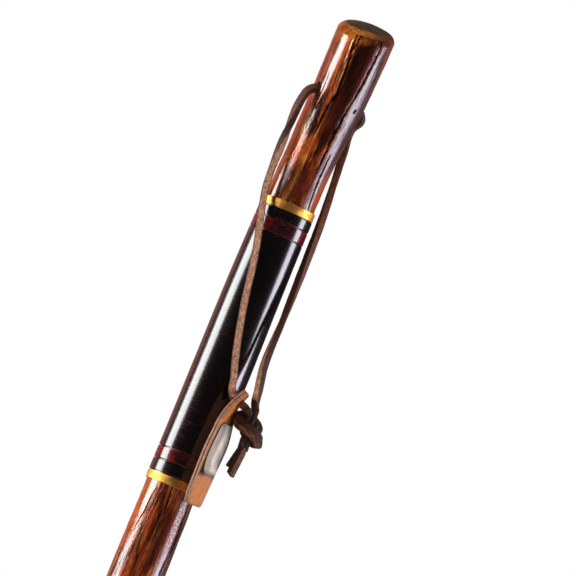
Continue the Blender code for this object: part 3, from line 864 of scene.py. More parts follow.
# %% Cut a flat blank
def cut_blank(name, length, width, corner, thickness, squares):
    """A flat piece that hangs down from its top edge, divided into squares."""
    select_only()
    bpy.ops.mesh.primitive_plane_add(size=1, location=(0, 0, 0))
    piece = name_piece(name)
    edit_all()
    bpy.ops.transform.resize(value=(width, length, 1))
    bpy.ops.transform.translate(value=(0, -length / 2, 0))
    bpy.ops.mesh.bevel(offset=corner, segments=8, affect="VERTICES")
    for axis, size, start in ((0, width, -width / 2), (1, length, -length)):
        count = round(size / squares)
        for k in range(1, count):
            at, normal = Vector(), Vector()
            at[axis] = start + size * k / count
            normal[axis] = 1
            bpy.ops.mesh.select_all(action="SELECT")
            bpy.ops.mesh.bisect(plane_co=at, plane_no=normal)
    bpy.ops.mesh.select_all(action="SELECT")
    bpy.ops.mesh.remove_doubles(threshold=0.02 * MM)
    bpy.ops.mesh.extrude_region_move(TRANSFORM_OT_translate={"value": (0, 0, thickness)})
    close_piece()
    return piece


def punch_hole(piece, drop, radius):
    select_only()
    bpy.ops.mesh.primitive_cylinder_add(
        vertices=40, radius=radius, depth=20 * MM, location=(0, -drop, 0)
    )
    cut_away(piece, bpy.context.object)


def rub_edges(piece, width, steps):
    """Rounds every sharp edge of a piece."""
    sharp = {"limit_method": "ANGLE", "angle_limit": math.radians(50)}
    apply_modifier(piece, "BEVEL", width=width, segments=steps, use_clamp_overlap=True, **sharp)


def keep_flat(piece, width, length, corner):
    """Writes each point's place in the flat blank, and how far it is from the cut edge."""
    points = read_points(piece)
    keep(piece, "flat", "FLOAT_VECTOR", "POINT", points)
    dx = np.abs(points[:, 0]) - (width / 2 - corner)
    dy = np.abs(points[:, 1] + length / 2) - (length / 2 - corner)
    outside = np.hypot(np.maximum(dx, 0), np.maximum(dy, 0)) + np.minimum(np.maximum(dx, dy), 0)
    keep(piece, "from_edge", "FLOAT", "POINT", corner - outside)


def curl_blank(piece, top, face, bulge):
    """Bends a flat blank onto the hanging tag. Its lower skin lies at face over the middle."""
    points = read_points(piece)
    for i, (x, y, z) in enumerate(points):
        middle, width, normal = tag_frame((top - y) / TAG_LENGTH)
        points[i] = middle + width * x + normal * (face + z + bulge(x, y))
    write_points(piece, points)


# %% The two layers of leather
TAG_CORNER = 2.5 * MM


def curled_rim(x, y):
    """Beside the plate the left rim curls up, from 0 to 1."""
    along = ease(17 * MM, 27 * MM, -y) * (1 - ease(47 * MM, 60 * MM, -y))
    return float(ease(7.1 * MM, 9.5 * MM, -x) * along)


tag_layers = []
for node, face, curl in (
    ("tag_leather_outer", GAP / 2, 1.05 * MM),
    ("tag_leather_inner", -GAP / 2 - TAG_LEATHER, 0.75 * MM),
):
    layer = cut_blank(node + "_hide", TAG_LENGTH, TAG_WIDTH, TAG_CORNER, TAG_LEATHER, 1.5 * MM)
    punch_hole(layer, 6.2 * MM, 2.7 * MM)
    rub_edges(layer, 0.22 * MM, 2)
    keep_flat(layer, TAG_WIDTH, TAG_LENGTH, TAG_CORNER)
    curl_blank(layer, 0, face, lambda x, y: curl * curled_rim(x, y))
    tag_layers.append(place_piece(layer, "tag", [node], sharp=60))

# %% The blank plate
PLATE_LENGTH, PLATE_WIDTH, PLATE_DROP = 29 * MM, 13.8 * MM, 19.5 * MM
PLATE_CORNER = 2.8 * MM
PLATE_LEFT = 0.3 * MM  # how far the plate's middle lies left of the tag's


def crown_of_plate(x, y):
    """The plate is pressed into a shallow arch across its width, and its low end stands off."""
    arch = 0.8 * MM * (1 - (2 * x / PLATE_WIDTH) ** 2) * min(max(-y / (5 * MM), 0.3), 1)
    return arch + 1.1 * MM * float(ease(20 * MM, 29 * MM, -y))


plate = cut_blank("tag_plate_pale", PLATE_LENGTH, PLATE_WIDTH, PLATE_CORNER, 0.5 * MM, 1.0 * MM)
rub_edges(plate, 0.18 * MM, 3)
keep_flat(plate, PLATE_WIDTH, PLATE_LENGTH, PLATE_CORNER)
plate.data.transform(Matrix.Translation((-PLATE_LEFT, 0, 0)))
curl_blank(plate, PLATE_DROP, GAP / 2 + TAG_LEATHER + GAP, crown_of_plate)
place_piece(plate, "tag", ["tag_plate"], sharp=60)

# %% [markdown]
# ## The rubber foot
#
# The foot is turned: one section, carried round the axis. Starting from a disc in the middle of
# the sole, its rim is extruded out over the two rings of tread, up the grooved side and down
# into the bore, and a narrow bevel takes the sharpness off every moulded edge.

# %% Extrude the foot's section
FOOT_SECTION = (
    # height and distance from the axis, in mm
    (0.0, 5.50), (1.0, 5.98), (1.0, 7.66), (0.0, 8.14), (0.0, 10.30), (1.0, 10.78), (1.0, 12.46),
    (0.0, 12.94), (0.0, 15.09), (1.6, 16.29), (4.5, 16.69), (7.5, 16.42), (8.1, 15.46),
    (9.5, 15.33), (10.1, 16.18), (15.5, 15.68), (16.1, 14.72), (17.5, 14.59), (18.1, 15.44),
    (23.5, 14.94), (24.1, 13.99), (25.5, 13.86), (26.1, 14.70), (31.5, 14.20), (32.1, 13.25),
    (33.5, 13.12), (34.1, 13.96), (36.0, 13.79), (37.0, 13.02), (37.0, 12.345), (6.0, 12.345),
)
select_only()
bpy.ops.mesh.primitive_circle_add(
    vertices=ROUND, radius=FOOT_SECTION[0][1] * MM, fill_type="NGON", location=(0, 0, 0)
)
foot = name_piece("ferrule_rubber")
choose(foot, "EDGE", lambda a, b: True)
extrude_through(FOOT_SECTION, UP * MM, bpy.ops.mesh.extrude_edges_move)
bpy.ops.mesh.edge_face_add()
close_piece()
rub_edges(foot, 0.22 * MM, 3)
place_piece(foot, "staff", ["ferrule"], sharp=60)

# %% [markdown]
# ## Finishes
#
# Every finish is made of nodes. A node's output is kept as a Wire here, and wires are added and
# multiplied like numbers: each sign adds one Math node. So a line of code reads like the sum
# that its nodes do. Colours are written as they look on the screen, from 0 to 255, and changed
# to the light values that Blender works with.


# %% Colours as seen on the screen
def tint(r, g, b):
    """A colour as seen on the screen, in light values."""
    return tuple(
        c / 12.92 / 255 if c <= 10.3 else ((c / 255 + 0.055) / 1.055) ** 2.4 for c in (r, g, b)
    ) + (1.0,)


# %% Wires and nodes
class Wire:
    """One output of a node. A number or name in brackets gives another one of the same node."""

    def __init__(self, socket):
        self.socket = socket
        self.tree = socket.id_data

    def __getitem__(self, name):
        return Wire(self.socket.node.outputs[name])

    def __add__(self, other):
        return calc("ADD", self, other)

    def __sub__(self, other):
        return calc("SUBTRACT", self, other)

    def __rsub__(self, other):
        return calc("SUBTRACT", other, self)

    def __mul__(self, other):
        return calc("MULTIPLY", self, other)

    def __truediv__(self, other):
        return calc("DIVIDE", self, other)

    def __pow__(self, other):
        return calc("POWER", self, other)

    def __abs__(self):
        return calc("ABSOLUTE", self)


def fill(made, inputs):
    """Gives a node's inputs their values, or wires them up."""
    for name, value in inputs.items():
        if isinstance(value, Wire):
            value.tree.links.new(value.socket, made.inputs[name])
        else:
            made.inputs[name].default_value = value


def add(kind, inputs, out=0, tree=None, **settings):
    """Adds a node to the tree that its inputs come from, or to a given tree."""
    tree = tree or next(value.tree for value in inputs.values() if isinstance(value, Wire))
    made = tree.nodes.new("ShaderNode" + kind)
    for name, value in settings.items():
        setattr(made, name, value)
    fill(made, inputs)
    return Wire(made.outputs[out])


def calc(how, *values):
    return add("Math", dict(enumerate(values)), operation=how)


# %% Helpers for masks and colours
def largest(first, *others):
    for other in others:
        first = calc("MAXIMUM", first, other)
    return first


def soft_step(value, low, high, to_low=0.0, to_high=1.0):
    """Goes softly from to_low to to_high while the value goes from low to high."""
    inputs = {0: value, 1: low, 2: high, 3: to_low, 4: to_high}
    return add("MapRange", inputs, interpolation_type="SMOOTHSTEP")


def span(value, start, full, fade, end):
    """1 from full to fade, softly down to 0 at start and at end."""
    return soft_step(value, start, full) * soft_step(value, end, fade)


def mix(share, a, b, how="MIX"):
    return add("Mix", {0: share, 6: a, 7: b}, out=2, data_type="RGBA", blend_type=how)


def colours(value, *stops):
    """The colour that a value stands for, between stops of a value and a colour each."""
    made = add("ValToRGB", {0: value})
    ramp = made.socket.node.color_ramp
    while len(ramp.elements) < len(stops):
        ramp.elements.new(0.5)
    for element, (at, *colour) in zip(ramp.elements, stops):
        element.position = at
        element.color = tint(*colour)
    return made


# %% Helpers for patterns
def split(place):
    """The x, y and z of a place."""
    x = add("SeparateXYZ", {0: place})
    return x, x[1], x[2]


def stretch(place, x, y, z):
    """Coordinates with another scale in each direction."""
    return add("VectorMath", {0: place, 1: (x, y, z)}, operation="MULTIPLY")


def cloud(place, fine, detail=3.0, rough=0.5, swirl=0.0):
    """Soft noise, as fine as one number says or as three say for x, y and z."""
    if isinstance(fine, tuple):
        place, fine = stretch(place, *fine), 1.0
    inputs = {"Vector": place, "Scale": fine, "Detail": detail, "Roughness": rough}
    return add("TexNoise", {**inputs, "Distortion": swirl})


def bump(relief):
    """The normal of a surface whose relief is given in millimetres."""
    return add("Bump", {"Strength": 1.0, "Distance": 1 * MM, "Height": relief})


# %% Helpers for finishes
def new_finish(name):
    material = bpy.data.materials.new(name)
    material.use_nodes = True
    return material


def on_object(material):
    """Each point's place on the object."""
    return add("TexCoord", {}, 3, material.node_tree)


def written(material, name, out=1):
    """What was written into the mesh under a name: a place (1) or a number (2)."""
    return add("Attribute", {}, out, material.node_tree, attribute_name=name)


def dress(pieces, material, inputs):
    """Fills in the material's shader and gives the material to some pieces."""
    fill(material.node_tree.nodes["Principled BSDF"], inputs)
    for piece in pieces:
        piece.data.materials.clear()
        piece.data.materials.append(material)
    print(f"{material.name}: {len(material.node_tree.nodes)} nodes, on {len(pieces)} pieces")


# %% Helpers for shared effects
def new_effect(name, inputs, outputs):
    """A node group: its inputs, of which the first is a place, and its end node."""
    tree = bpy.data.node_groups.new(name, "ShaderNodeTree")
    sockets = [(title, "INPUT", "Float") for title in inputs]
    sockets += [(title, "OUTPUT", "Float") for title in outputs]
    sockets[0] = (inputs[0], "INPUT", "Vector")
    for title, way, kind in sockets:
        tree.interface.new_socket(name=title, in_out=way, socket_type="NodeSocket" + kind)
    given = tree.nodes.new("NodeGroupInput").outputs
    return tree, [Wire(given[title]) for title in inputs], tree.nodes.new("NodeGroupOutput")


def use_effect(effect, *values):
    """Places an effect, with values for its inputs in their order."""
    return add("Group", dict(enumerate(values)), node_tree=effect)


# %% [markdown]
# ### Varnished wood
#
# Under its varnish the stick shows everything at once: golden wood where the bark was shaved
# off, dark streaks where it wasn't, a violet-brown strip of bark down the right side, long black
# fissures, and rings round the healed branch knots. Each of these is a small effect that is
# placed many times with other values: a fissure, a knot and a soft patch.

# %% Effect: a bark fissure
fissure, (bark, low, high, arc_low, arc_high, bow, width, wobble), result = new_effect(
    "bark fissure",
    ("Bark", "Low", "High", "Arc low", "Arc high", "Bow", "Width", "Wobble"),
    ("Fissure",),
)
arc, _, height = split(bark)
part = (height - low) / (high - low)
hump = largest(part * (1.0 - part) * 4.0, 0.0)
waver = cloud(bark, (30, 30, 130), 3.0, 0.6)
middle = (arc_high - arc_low) * part + arc_low + hump * bow + (waver - 0.5) * wobble
rough_width = cloud(bark, (200, 200, 420), 2.0, 0.6)
wide = width * hump**0.6 * (rough_width * 1.6 + 0.2)
mask = soft_step(abs(arc - middle) / largest(wide, 1e-6), 1.0, 0.45)
fill(result, {"Fissure": mask * calc("GREATER_THAN", hump, 0.0)})
print("effect:", fissure.name)

# %% Effect: a healed branch knot
OVAL = ("Bark", "Arc", "Height", "Half width", "Half height")


def across_and_up(bark, at_arc, at_height, half_width, half_height):
    """How far a place is from an oval's middle, in its half widths and half heights."""
    arc, _, height = split(bark)
    return (arc - at_arc) / half_width, (height - at_height) / half_height


healed, (bark, *oval, rings), result = new_effect(
    "healed knot", OVAL + ("Rings",), ("Distance", "Ring")
)
across, up = across_and_up(bark, *oval)
egg = abs(up) * 0.18 + 1.0
warp = cloud(bark, 170.0, 2.0)
distance = calc("SQRT", (across * egg) ** 2.0 + up**2.0) + (warp - 0.5) * 0.45
wave = calc("SINE", distance * rings * (2 * math.pi))
fill(result, {"Distance": distance, "Ring": soft_step(wave, -0.3, 0.95)})
print("effect:", healed.name)

# %% Effect: a soft patch
patch, (bark, *oval, ragged), result = new_effect("soft patch", OVAL + ("Ragged",), ("Patch",))
across, up = across_and_up(bark, *oval)
torn = cloud(bark, (380, 380, 90), 4.0, 0.65)
distance = calc("SQRT", across**2.0 + up**2.0) + (torn - 0.5) * ragged
fill(result, {"Patch": soft_step(distance, 1.15, 0.6)})
print("effect:", patch.name)

# %% Wood: streaks of grain
wood = new_finish("varnished wood")
place = on_object(wood)
bark = written(wood, "bark")
arc, _, height = split(bark)
RADIAN = math.pi / 180 * STRAIGHT  # arc of one degree round the stick

flame = cloud(place, (120, 120, 13), 4.0, 0.6, 1.5)
streak = cloud(place, (420, 420, 34), 3.0, 0.6, 0.3)
fibre = cloud(place, (1150, 1150, 55), 3.0, 0.6)
golden = colours(
    flame * 0.95 + (streak - 0.5) * 0.80 + (fibre - 0.5) * 0.45,
    (0.30, 28, 8, 3),
    (0.39, 84, 28, 10),
    (0.46, 140, 56, 18),
    (0.54, 190, 92, 32),
    (0.63, 212, 136, 58),
    (0.74, 232, 184, 116),
)
print("wood: grain streaks")

# %% Wood: the strip of bark down the right side, and a fainter one behind
edge_waver = cloud(bark, (20, 20, 14), 3.0, 0.55)
edge_at = (edge_waver - 0.5) * (10 * MM) + arc
strip = span(edge_at, 6.4 * MM, 7.9 * MM, 31 * MM, 34 * MM)
strip = largest(strip, span(edge_at, -40 * MM, -37 * MM, -29 * MM, -26 * MM) * 0.85)
bark_tone = cloud(place, (300, 300, 30), 5.0, 0.65)
bark_colour = colours(
    bark_tone, (0.32, 34, 16, 13), (0.44, 84, 44, 36), (0.54, 116, 70, 62), (0.66, 148, 92, 74)
)
spots = cloud(bark, (150, 150, 70), 3.0, 0.6, 0.4)
bark_colour = mix(soft_step(spots, 0.62, 0.70), bark_colour, tint(198, 90, 32))
colour = mix(strip, golden, bark_colour)
print("wood: bark strips")

# %% [markdown]
# Noise alone gives every part of the stick the same look. The places that stand out in the
# photograph are put on one by one: soft patches of colour, healed knots, fissures and rough
# places, each with its own row in a table. The back, which no picture shows, has only the
# streaks, the fainter strip of bark, the flecks and the fine cracks.

# %% Wood: light flecks, under the patches
flecks = cloud(place, (1500, 1500, 270), 3.0, 0.65)
bare_wood = strip * -0.55 + 1.0
colour = mix(soft_step(flecks, 0.56, 0.68) * 0.4 * bare_wood, colour, tint(222, 116, 46))
print("wood: light flecks")

# %% Wood: colour patches
PATCHES = (
    # degrees from the front, height, half width, half height in mm, ragged, strength, colour
    (11, 1366, 5.4, 36, 0.6, 0.97, (30, 5, 2)),
    (6, 1338, 5.0, 18, 0.9, 0.85, (70, 20, 7)),
    (-27, 1376, 2.2, 24, 0.6, 0.9, (206, 112, 34)),
    (-17, 1366, 1.3, 18, 0.7, 0.85, (150, 66, 22)),
    (-70, 1350, 6.0, 66, 0.5, 0.85, (204, 88, 26)),
    (-56, 1384.5, 19.0, 6.5, 0.7, 0.95, (224, 142, 44)),
    (34, 1387, 13.0, 4.2, 0.5, 0.7, (112, 54, 22)),
    (-24, 1315, 5.0, 11, 1.6, 0.8, (206, 118, 30)),
    (-5, 1320, 3.2, 7, 1.6, 0.6, (158, 76, 20)),
    (-46, 1307, 7.0, 17, 1.2, 0.75, (208, 108, 30)),
    (72, 1299, 5.5, 15, 0.8, 0.9, (200, 96, 30)),
    (-16, 1300, 10.5, 13, 1.0, 0.7, (84, 34, 12)),
    (14, 1300, 5.0, 14, 1.0, 0.7, (120, 52, 22)),
    (78, 1380, 4.5, 12, 0.8, 0.7, (170, 92, 58)),
    (52, 1345, 5.5, 46, 0.5, 0.75, (78, 50, 58)),
    (30, 1366, 2.6, 20, 0.6, 0.8, (96, 34, 14)),
    (-62, 1372, 4.0, 26, 0.9, 0.5, (120, 56, 24)),
    (-42, 780, 14.0, 130, 0.8, 0.75, (218, 142, 66)),
    (-34, 740, 6.0, 60, 0.9, 0.5, (226, 170, 110)),
    (-6, 806, 4.6, 17, 1.6, 0.7, (110, 48, 18)),
    (-11, 793, 2.6, 7, 1.6, 0.7, (206, 114, 26)),
    (13, 790, 3.6, 100, 0.9, 0.85, (44, 15, 8)),
    (-22, 716, 8.0, 14, 1.2, 0.7, (120, 54, 26)),
    (-4, 1100, 13.0, 42, 1.1, 0.66, (112, 44, 17)),
    (-18, 1103, 2.4, 9, 1.6, 0.5, (196, 84, 26)),
    (18, 1096, 3.5, 20, 1.2, 0.7, (60, 18, 8)),
    (-66, 1106, 6.5, 34, 0.8, 0.85, (220, 118, 36)),
    (-24, 1066, 4.0, 18, 1.0, 0.6, (206, 110, 40)),
)


def place_oval(effect, degrees, at, half_width, half_height, last):
    """An effect that fills an oval on the bark."""
    return use_effect(
        effect, bark, degrees * RADIAN, at * MM, half_width * MM, half_height * MM, last
    )


for *oval, strength, patch_colour in PATCHES:
    grained = mix(0.55, tint(*patch_colour), golden, "SOFT_LIGHT")
    colour = mix(place_oval(patch, *oval) * strength, colour, grained)
print(f"wood: {len(PATCHES)} patches")

# %% Wood: dark flecks, over the patches
long_flecks = cloud(place, (800, 800, 90), 3.0, 0.6, 0.6)
dark_fleck = largest(soft_step(flecks, 0.49, 0.37) * 0.62, soft_step(long_flecks, 0.46, 0.38) * 0.6)
colour = mix(dark_fleck * bare_wood, colour, tint(44, 12, 5))
print("wood: dark flecks")

# %% Wood: the healed knots
HEALED = (
    # degrees, height, half width, half height in mm, rings, light colour, dark colour
    (-25, 825, 9.0, 21, 7.0, (214, 146, 74), (164, 92, 38)),
    (-27, 826, 5.4, 14, 2.6, (232, 190, 134), (204, 142, 84)),
    (27, 944, 6.0, 10, 4.0, (210, 150, 84), (140, 80, 40)),
    (25, 729, 5.0, 7, 3.0, (120, 62, 34), (40, 18, 12)),
    (0, 282, 5.0, 7, 3.0, (170, 104, 54), (72, 32, 16)),
    (88, 963, 8.0, 12, 3.5, (132, 74, 46), (58, 28, 20)),
    (25, 1337, 2.2, 3.2, 2.0, (84, 60, 58), (26, 12, 10)),
)
ring_lines = []
for *oval, light, dark in HEALED:
    distance = place_oval(healed, *oval)
    ring = distance["Ring"]
    inside = soft_step(distance, 1.25, 0.80)
    face = mix(ring * (streak * 1.1), tint(*light), tint(*dark))
    face = mix(0.35, face, golden, "SOFT_LIGHT")
    face = mix(soft_step(distance, 0.16, 0.05), face, tint(84, 48, 58))
    colour = mix(inside, colour, face)
    colour = mix(span(distance, 0.85, 1.0, 1.05, 1.3) * 0.35, colour, tint(*dark))
    ring_lines.append(ring * inside)
print(f"wood: {len(HEALED)} healed knots")

# %% Wood: the fissures
FISSURES = (
    # low and high in mm, degrees there, bow in degrees, half width and waver in mm
    (1340, 1388, -4, -17, 3, 0.9, 1.8),
    (1322, 1358, -10, -3, -4, 0.85, 2.0),
    (1347, 1373, -9, -12, -8, 0.4, 1.6),
    (1346, 1390, 27, 38, 3, 1.2, 1.8),
    (1308, 1352, 27, 29, -3, 1.1, 1.8),
    (1285, 1321, 50, 41, -4, 1.15, 1.6),
    (1372, 1388, -12, -8, 2, 0.6, 1.5),
    (1330, 1362, -42, -38, 3, 0.5, 1.4),
    (1339, 1350, -33, -29, 2, 1.1, 1.2),
    (1345, 1348, 45, 47, 0, 1.3, 0.3),
    (1086, 1124, 60, 57, 2, 1.5, 2.0),
    (1076, 1112, 47, 55, 3, 0.6, 1.8),
    (1106, 1123, 4, 2, 2, 0.6, 1.4),
    (1094, 1121, -45, -33, 2, 0.7, 2.4),
    (1070, 1092, -54, -61, 1, 0.7, 2.2),
    (1040, 1090, 50, 56, -3, 0.8, 2.0),
    (836, 905, 27, 31, 3, 0.8, 2.2),
    (800, 846, 40, 36, 2, 0.7, 2.0),
    (752, 806, 32, 35, 2, 0.9, 2.2),
    (690, 752, 36, 30, -3, 0.6, 2.2),
)
FISSURE_UNITS = (MM, MM, RADIAN, RADIAN, RADIAN, MM, MM)
cuts = [
    use_effect(fissure, bark, *(value * unit for value, unit in zip(row, FISSURE_UNITS)))
    for row in FISSURES
]
print(f"wood: {len(cuts)} fissures in their places")

# %% Wood: fine cracks everywhere below the handle
lines = cloud(bark, (110, 110, 10), 4.0, 0.55, 0.7)
where = cloud(bark, (44, 44, 12), 2.0)
cracks = soft_step(abs(lines - 0.5), 0.030, 0.010) * soft_step(where, 0.46, 0.56)
below_handle = soft_step(height, BAND_HIGH + 2 * MM, BAND_HIGH - 2 * MM)
cracks = cracks * (strip * 0.55 + 0.45) * below_handle
cut = largest(*cuts, cracks)
# The near black of the fissures and cracks is partly their own dark bark and partly painted shade of
# their depth.
colour = mix(cut * 0.97, colour, tint(8, 3, 3))
print("wood: fissures and cracks darkened")

# %% Wood: rough places, where the bark has crackled under the varnish
ROUGH = (
    # degrees, height, half width, half height in mm, ragged, amount
    (-10, 1377, 2.1, 12, 0.9, 1.0),
    (-3, 1385, 1.6, 5, 0.9, 0.8),
    (-36, 1318, 5.0, 24, 0.9, 0.45),
    (-32, 1345, 1.8, 6, 0.9, 0.7),
    (-66, 1364, 3.6, 28, 0.9, 0.5),
    (35, 1383, 2.2, 9, 0.9, 0.9),
    (28, 1336, 2.8, 6, 0.9, 0.8),
    (44, 1106, 3.5, 24, 0.9, 0.5),
    (-38, 1096, 3.0, 18, 0.9, 0.4),
    (-26, 796, 2.6, 10, 1.0, 0.9),
)
rough = largest(*(place_oval(patch, *oval) * amount for *oval, amount in ROUGH))
crackle = add(
    "TexVoronoi", {"Vector": stretch(bark, 900, 900, 420), "Scale": 1.0, "Randomness": 1.0}
)
grit = cloud(bark, (1500, 1500, 700), 2.0, 0.6)
crevice = soft_step(grit, 0.52, 0.40) * rough
# The crevices of the crackle are darkened: partly the bark's own dark, partly painted shade in the
# hollows.
colour = mix(crevice * 0.8, colour, tint(14, 6, 5))
print(f"wood: {len(ROUGH)} rough places")

# %% [markdown]
# The varnish follows the wood's relief only softly, and it is duller over the strips of bark. A
# crack should look black even in the middle of a highlight, so it is made a metal there: a black
# metal reflects nothing.

# %% Wood: relief
lumps = cloud(place, (130, 130, 40), 2.0)
ripples = cloud(place, (420, 420, 75), 3.0, 0.55)
relief = lumps * 0.22 + flecks * 0.05 + ripples * (strip * 0.16 + 0.05)
relief = (crackle + grit) * (rough * 0.22) + relief + cut * -0.09
for ring in ring_lines:
    relief = ring * -0.03 + relief
print("wood: relief")

# %% Wood: gloss, duller on the bark and none in a crack
gloss = fibre * 0.06 + 0.12 + rough * 0.06
dull_handle = soft_step(height, 1.12, 1.30, 0.09, 0.13)
dull_shaft = soft_step(height, 1.07, 1.00, 0.0, 0.05)
gloss = gloss + strip * (dull_handle + dull_shaft)
no_shine = soft_step(largest(cut, crevice), 0.2, 0.6)
dress(
    [stick],
    wood,
    {
        "Base Color": colour,
        "Roughness": gloss + no_shine * 0.25,
        "Metallic": no_shine,
        "Normal": bump(relief),
    },
)

# %% [markdown]
# ### End grain
#
# The slanted top was sawn across the wood, so it shows growth rings and drinks up more stain: it
# is dark olive brown. It is the same stick, so it is a second finish on the faces that look up.

# %% The end grain, on the slanted top
grain_end = new_finish("varnished end grain")
place = on_object(grain_end)
middle_of_rings = {"Vector": place, "Location": (0.0072, 0.003, 0), "Scale": (1, 1, 0.05)}
growth = {"Scale": 210.0, "Distortion": 3.0, "Detail": 3.0, "Detail Scale": 1.6}
growth["Vector"] = add("Mapping", middle_of_rings)
rings = add("TexWave", growth, out=1, wave_type="RINGS", rings_direction="Z")
pores = cloud(place, 1500.0, 2.0, 0.6)
stain = cloud(place, 150.0, 3.0, 0.6)
tone = rings * 0.40 + stain * 0.7
end_colour = colours(tone, (0.15, 32, 19, 8), (0.5, 76, 52, 22), (0.85, 118, 88, 42))
end_colour = mix(soft_step(pores, 0.60, 0.70), end_colour, tint(18, 10, 5))
print("end grain: growth rings and pores")

# %% Its worn rim, lighter to the left
from_middle = add("VectorMath", {0: place, 1: (-0.0112, 0.0056, 0)}, operation="SUBTRACT")
from_middle = add("VectorMath", {0: stretch(from_middle, 0.95, 0.9, 0)}, 1, operation="LENGTH")
right_side = soft_step(split(place)[0], -15 * MM, 2 * MM)
rim_colour = mix(right_side, tint(228, 140, 44), tint(112, 58, 26))
mottled = soft_step(cloud(place, 520.0, 4.0, 0.65), 0.40, 0.66)
rim_colour = mix(mottled, rim_colour, tint(120, 54, 16))
on_rim = soft_step(stain * (3 * MM) + from_middle, 13 * MM, 14.6 * MM)
fill(
    grain_end.node_tree.nodes["Principled BSDF"],
    {
        "Base Color": mix(on_rim, end_colour, rim_colour),
        "Roughness": stain * 0.2 + 0.22,
        "Normal": bump(rings * 0.04 - pores * 0.05),
    },
)

stick.data.materials.append(grain_end)
upwards = Vector((0, -SLOPE, 1)).normalized()
top_faces = [
    face
    for face in stick.data.polygons
    if face.center.z > CROWN - 12 * MM and face.normal.dot(upwards) > 0.94
]
for face in top_faces:
    face.material_index = 1
print(f"end grain on {len(top_faces)} faces")

# %% [markdown]
# ### Brass
#
# The rings are thin brass tube, rubbed satin. Fine scratches run round them, and the brass has
# dulled in soft spots.

# %% Satin brass
brass = new_finish("satin brass")
place = on_object(brass)
scratches = cloud(place, (70, 70, 5200), 3.0, 0.6)
dull = cloud(place, 240.0, 4.0, 0.6)
dress(
    brass_rings,
    brass,
    {
        "Base Color": colours(dull, (0.30, 150, 100, 40), (0.52, 188, 134, 60), (0.72, 222, 174, 98)),
        "Roughness": dull * 0.22 + scratches * 0.10 + 0.34,
        "Normal": bump(scratches * 0.006 + dull * 0.05),
        "Metallic": 1.0,
    },
)

# %% [markdown]
# ### Waxed thread under a clear coat
#
# The coat is much smoother than the thread. The shader has a coat of its own for that: the
# thread's fine fibres go into the normal under it, while the coat keeps the shape of the mesh.
# The thread itself is so dark that it needs no gloss.

# %% Effect: wound thread
thread, (bark, turn), result = new_effect(
    "wound thread", ("Bark", "Turn"), ("Turn height", "Bare line", "Speckle")
)
arc, _, height = split(bark)
climb = arc / (2 * math.pi * STRAIGHT) * turn
wave = calc("COSINE", (height - climb) / turn * (2 * math.pi))
fibres = cloud(bark, (900, 900, 3200), 2.0, 0.6)
worn = cloud(bark, (150, 150, 1500), 2.0)
gate = cloud(bark, (60, 60, 24), 2.0)
bare = soft_step(worn, 0.50, 0.62) * soft_step(gate, 0.42, 0.60) * soft_step(height, 1.245, 1.215)
speck_noise = cloud(bark, (2600, 2600, 1900), 1.0)
speckle = soft_step(speck_noise, 0.64, 0.72)
fill(result, {"Turn height": (wave + fibres) * 0.5, "Bare line": bare, "Speckle": speckle})
print("effect:", thread.name)


# %% Black and red windings
def thread_finish(name, dark, light, bare, bare_share, lit_left_colour):
    """Varnished thread: worn lines, painted light on its left side, painted shade in its middle, and
    pale specks, more of them near the top.
    """
    material = new_finish(name)
    place = on_object(material)
    bark = written(material, "bark")
    arc, _, height = split(bark)
    turn_height = use_effect(thread, bark, THREAD)
    uneven_dye = cloud(place, (140, 140, 900), 3.0, 0.6)
    colour = mix(soft_step(uneven_dye, 0.35, 0.65), dark, light)
    colour = mix(turn_height["Bare line"] * bare_share, colour, bare)
    # Painted light: the left side is lighter, brown-red on the black thread and bright red on the
    # red.
    lit_left_side = span(arc, -32 * MM, -24 * MM, -17 * MM, -13.5 * MM)
    colour = mix(lit_left_side * (uneven_dye * 1.2 - 0.1), colour, lit_left_colour)
    # Painted shade: the middle, which faces the front, is darkened nearly black.
    shaded_middle = span(arc, -6.5 * MM, -2.5 * MM, 11 * MM, 13.5 * MM)
    colour = mix(shaded_middle * 0.8, colour, tint(9, 2, 2))
    # Pale grey specks, more of them towards the top.
    more_specks_up_top = soft_step(height, 1.258, 1.272, 0.05, 0.32)
    colour = mix(turn_height["Speckle"] * more_specks_up_top, colour, tint(150, 144, 150))
    return material, {
        "Base Color": colour,
        "Roughness": uneven_dye * 0.2 + 0.5,
        "Normal": bump(turn_height * 0.06),
        "Specular IOR Level": 0.0,
        "Coat Weight": 1.0,
        "Coat Roughness": 0.18,
    }


black = ("black thread under varnish", tint(4, 2, 3), tint(14, 7, 7), tint(86, 38, 28), 0.75)
red = ("red thread under varnish", tint(52, 4, 6), tint(134, 14, 19), tint(22, 2, 4), 0.5)
dress([w for w in windings if "black" in w.name], *thread_finish(*black, tint(112, 54, 38)))
dress([w for w in windings if "red" in w.name], *thread_finish(*red, tint(150, 26, 28)))

# %% [markdown]
# ### Suede
#
# Suede is the inner side of a hide, brushed up. One side of the lace is paler, its cut edges are
# dark, and small dark pores and pale fibres lie all over it. All of this reads the `lace`
# attribute. A little sheen gives the soft glow that fibres have at a glancing angle.

# %% Effect: suede nap
suede_nap, (lace, wrinkle), result = new_effect(
    "suede nap", ("Lace", "Wrinkle"), ("Nap", "Pores", "Height", "Crease shade")
)
nap = cloud(lace, (1100, 1100, 330), 4.0, 0.7)
pores = cloud(lace, (1500, 1500, 900), 1.0)
creases = cloud(lace, (900, 900, 190), 3.0, 0.6, 1.2)
fill(
    result,
    {
        "Nap": soft_step(nap, 0.38, 0.62),
        "Pores": soft_step(pores, 0.56, 0.66),
        "Height": nap * 0.22 + creases * wrinkle,
        "Crease shade": soft_step(creases, 0.50, 0.38) * wrinkle,
    },
)
print("effect:", suede_nap.name)


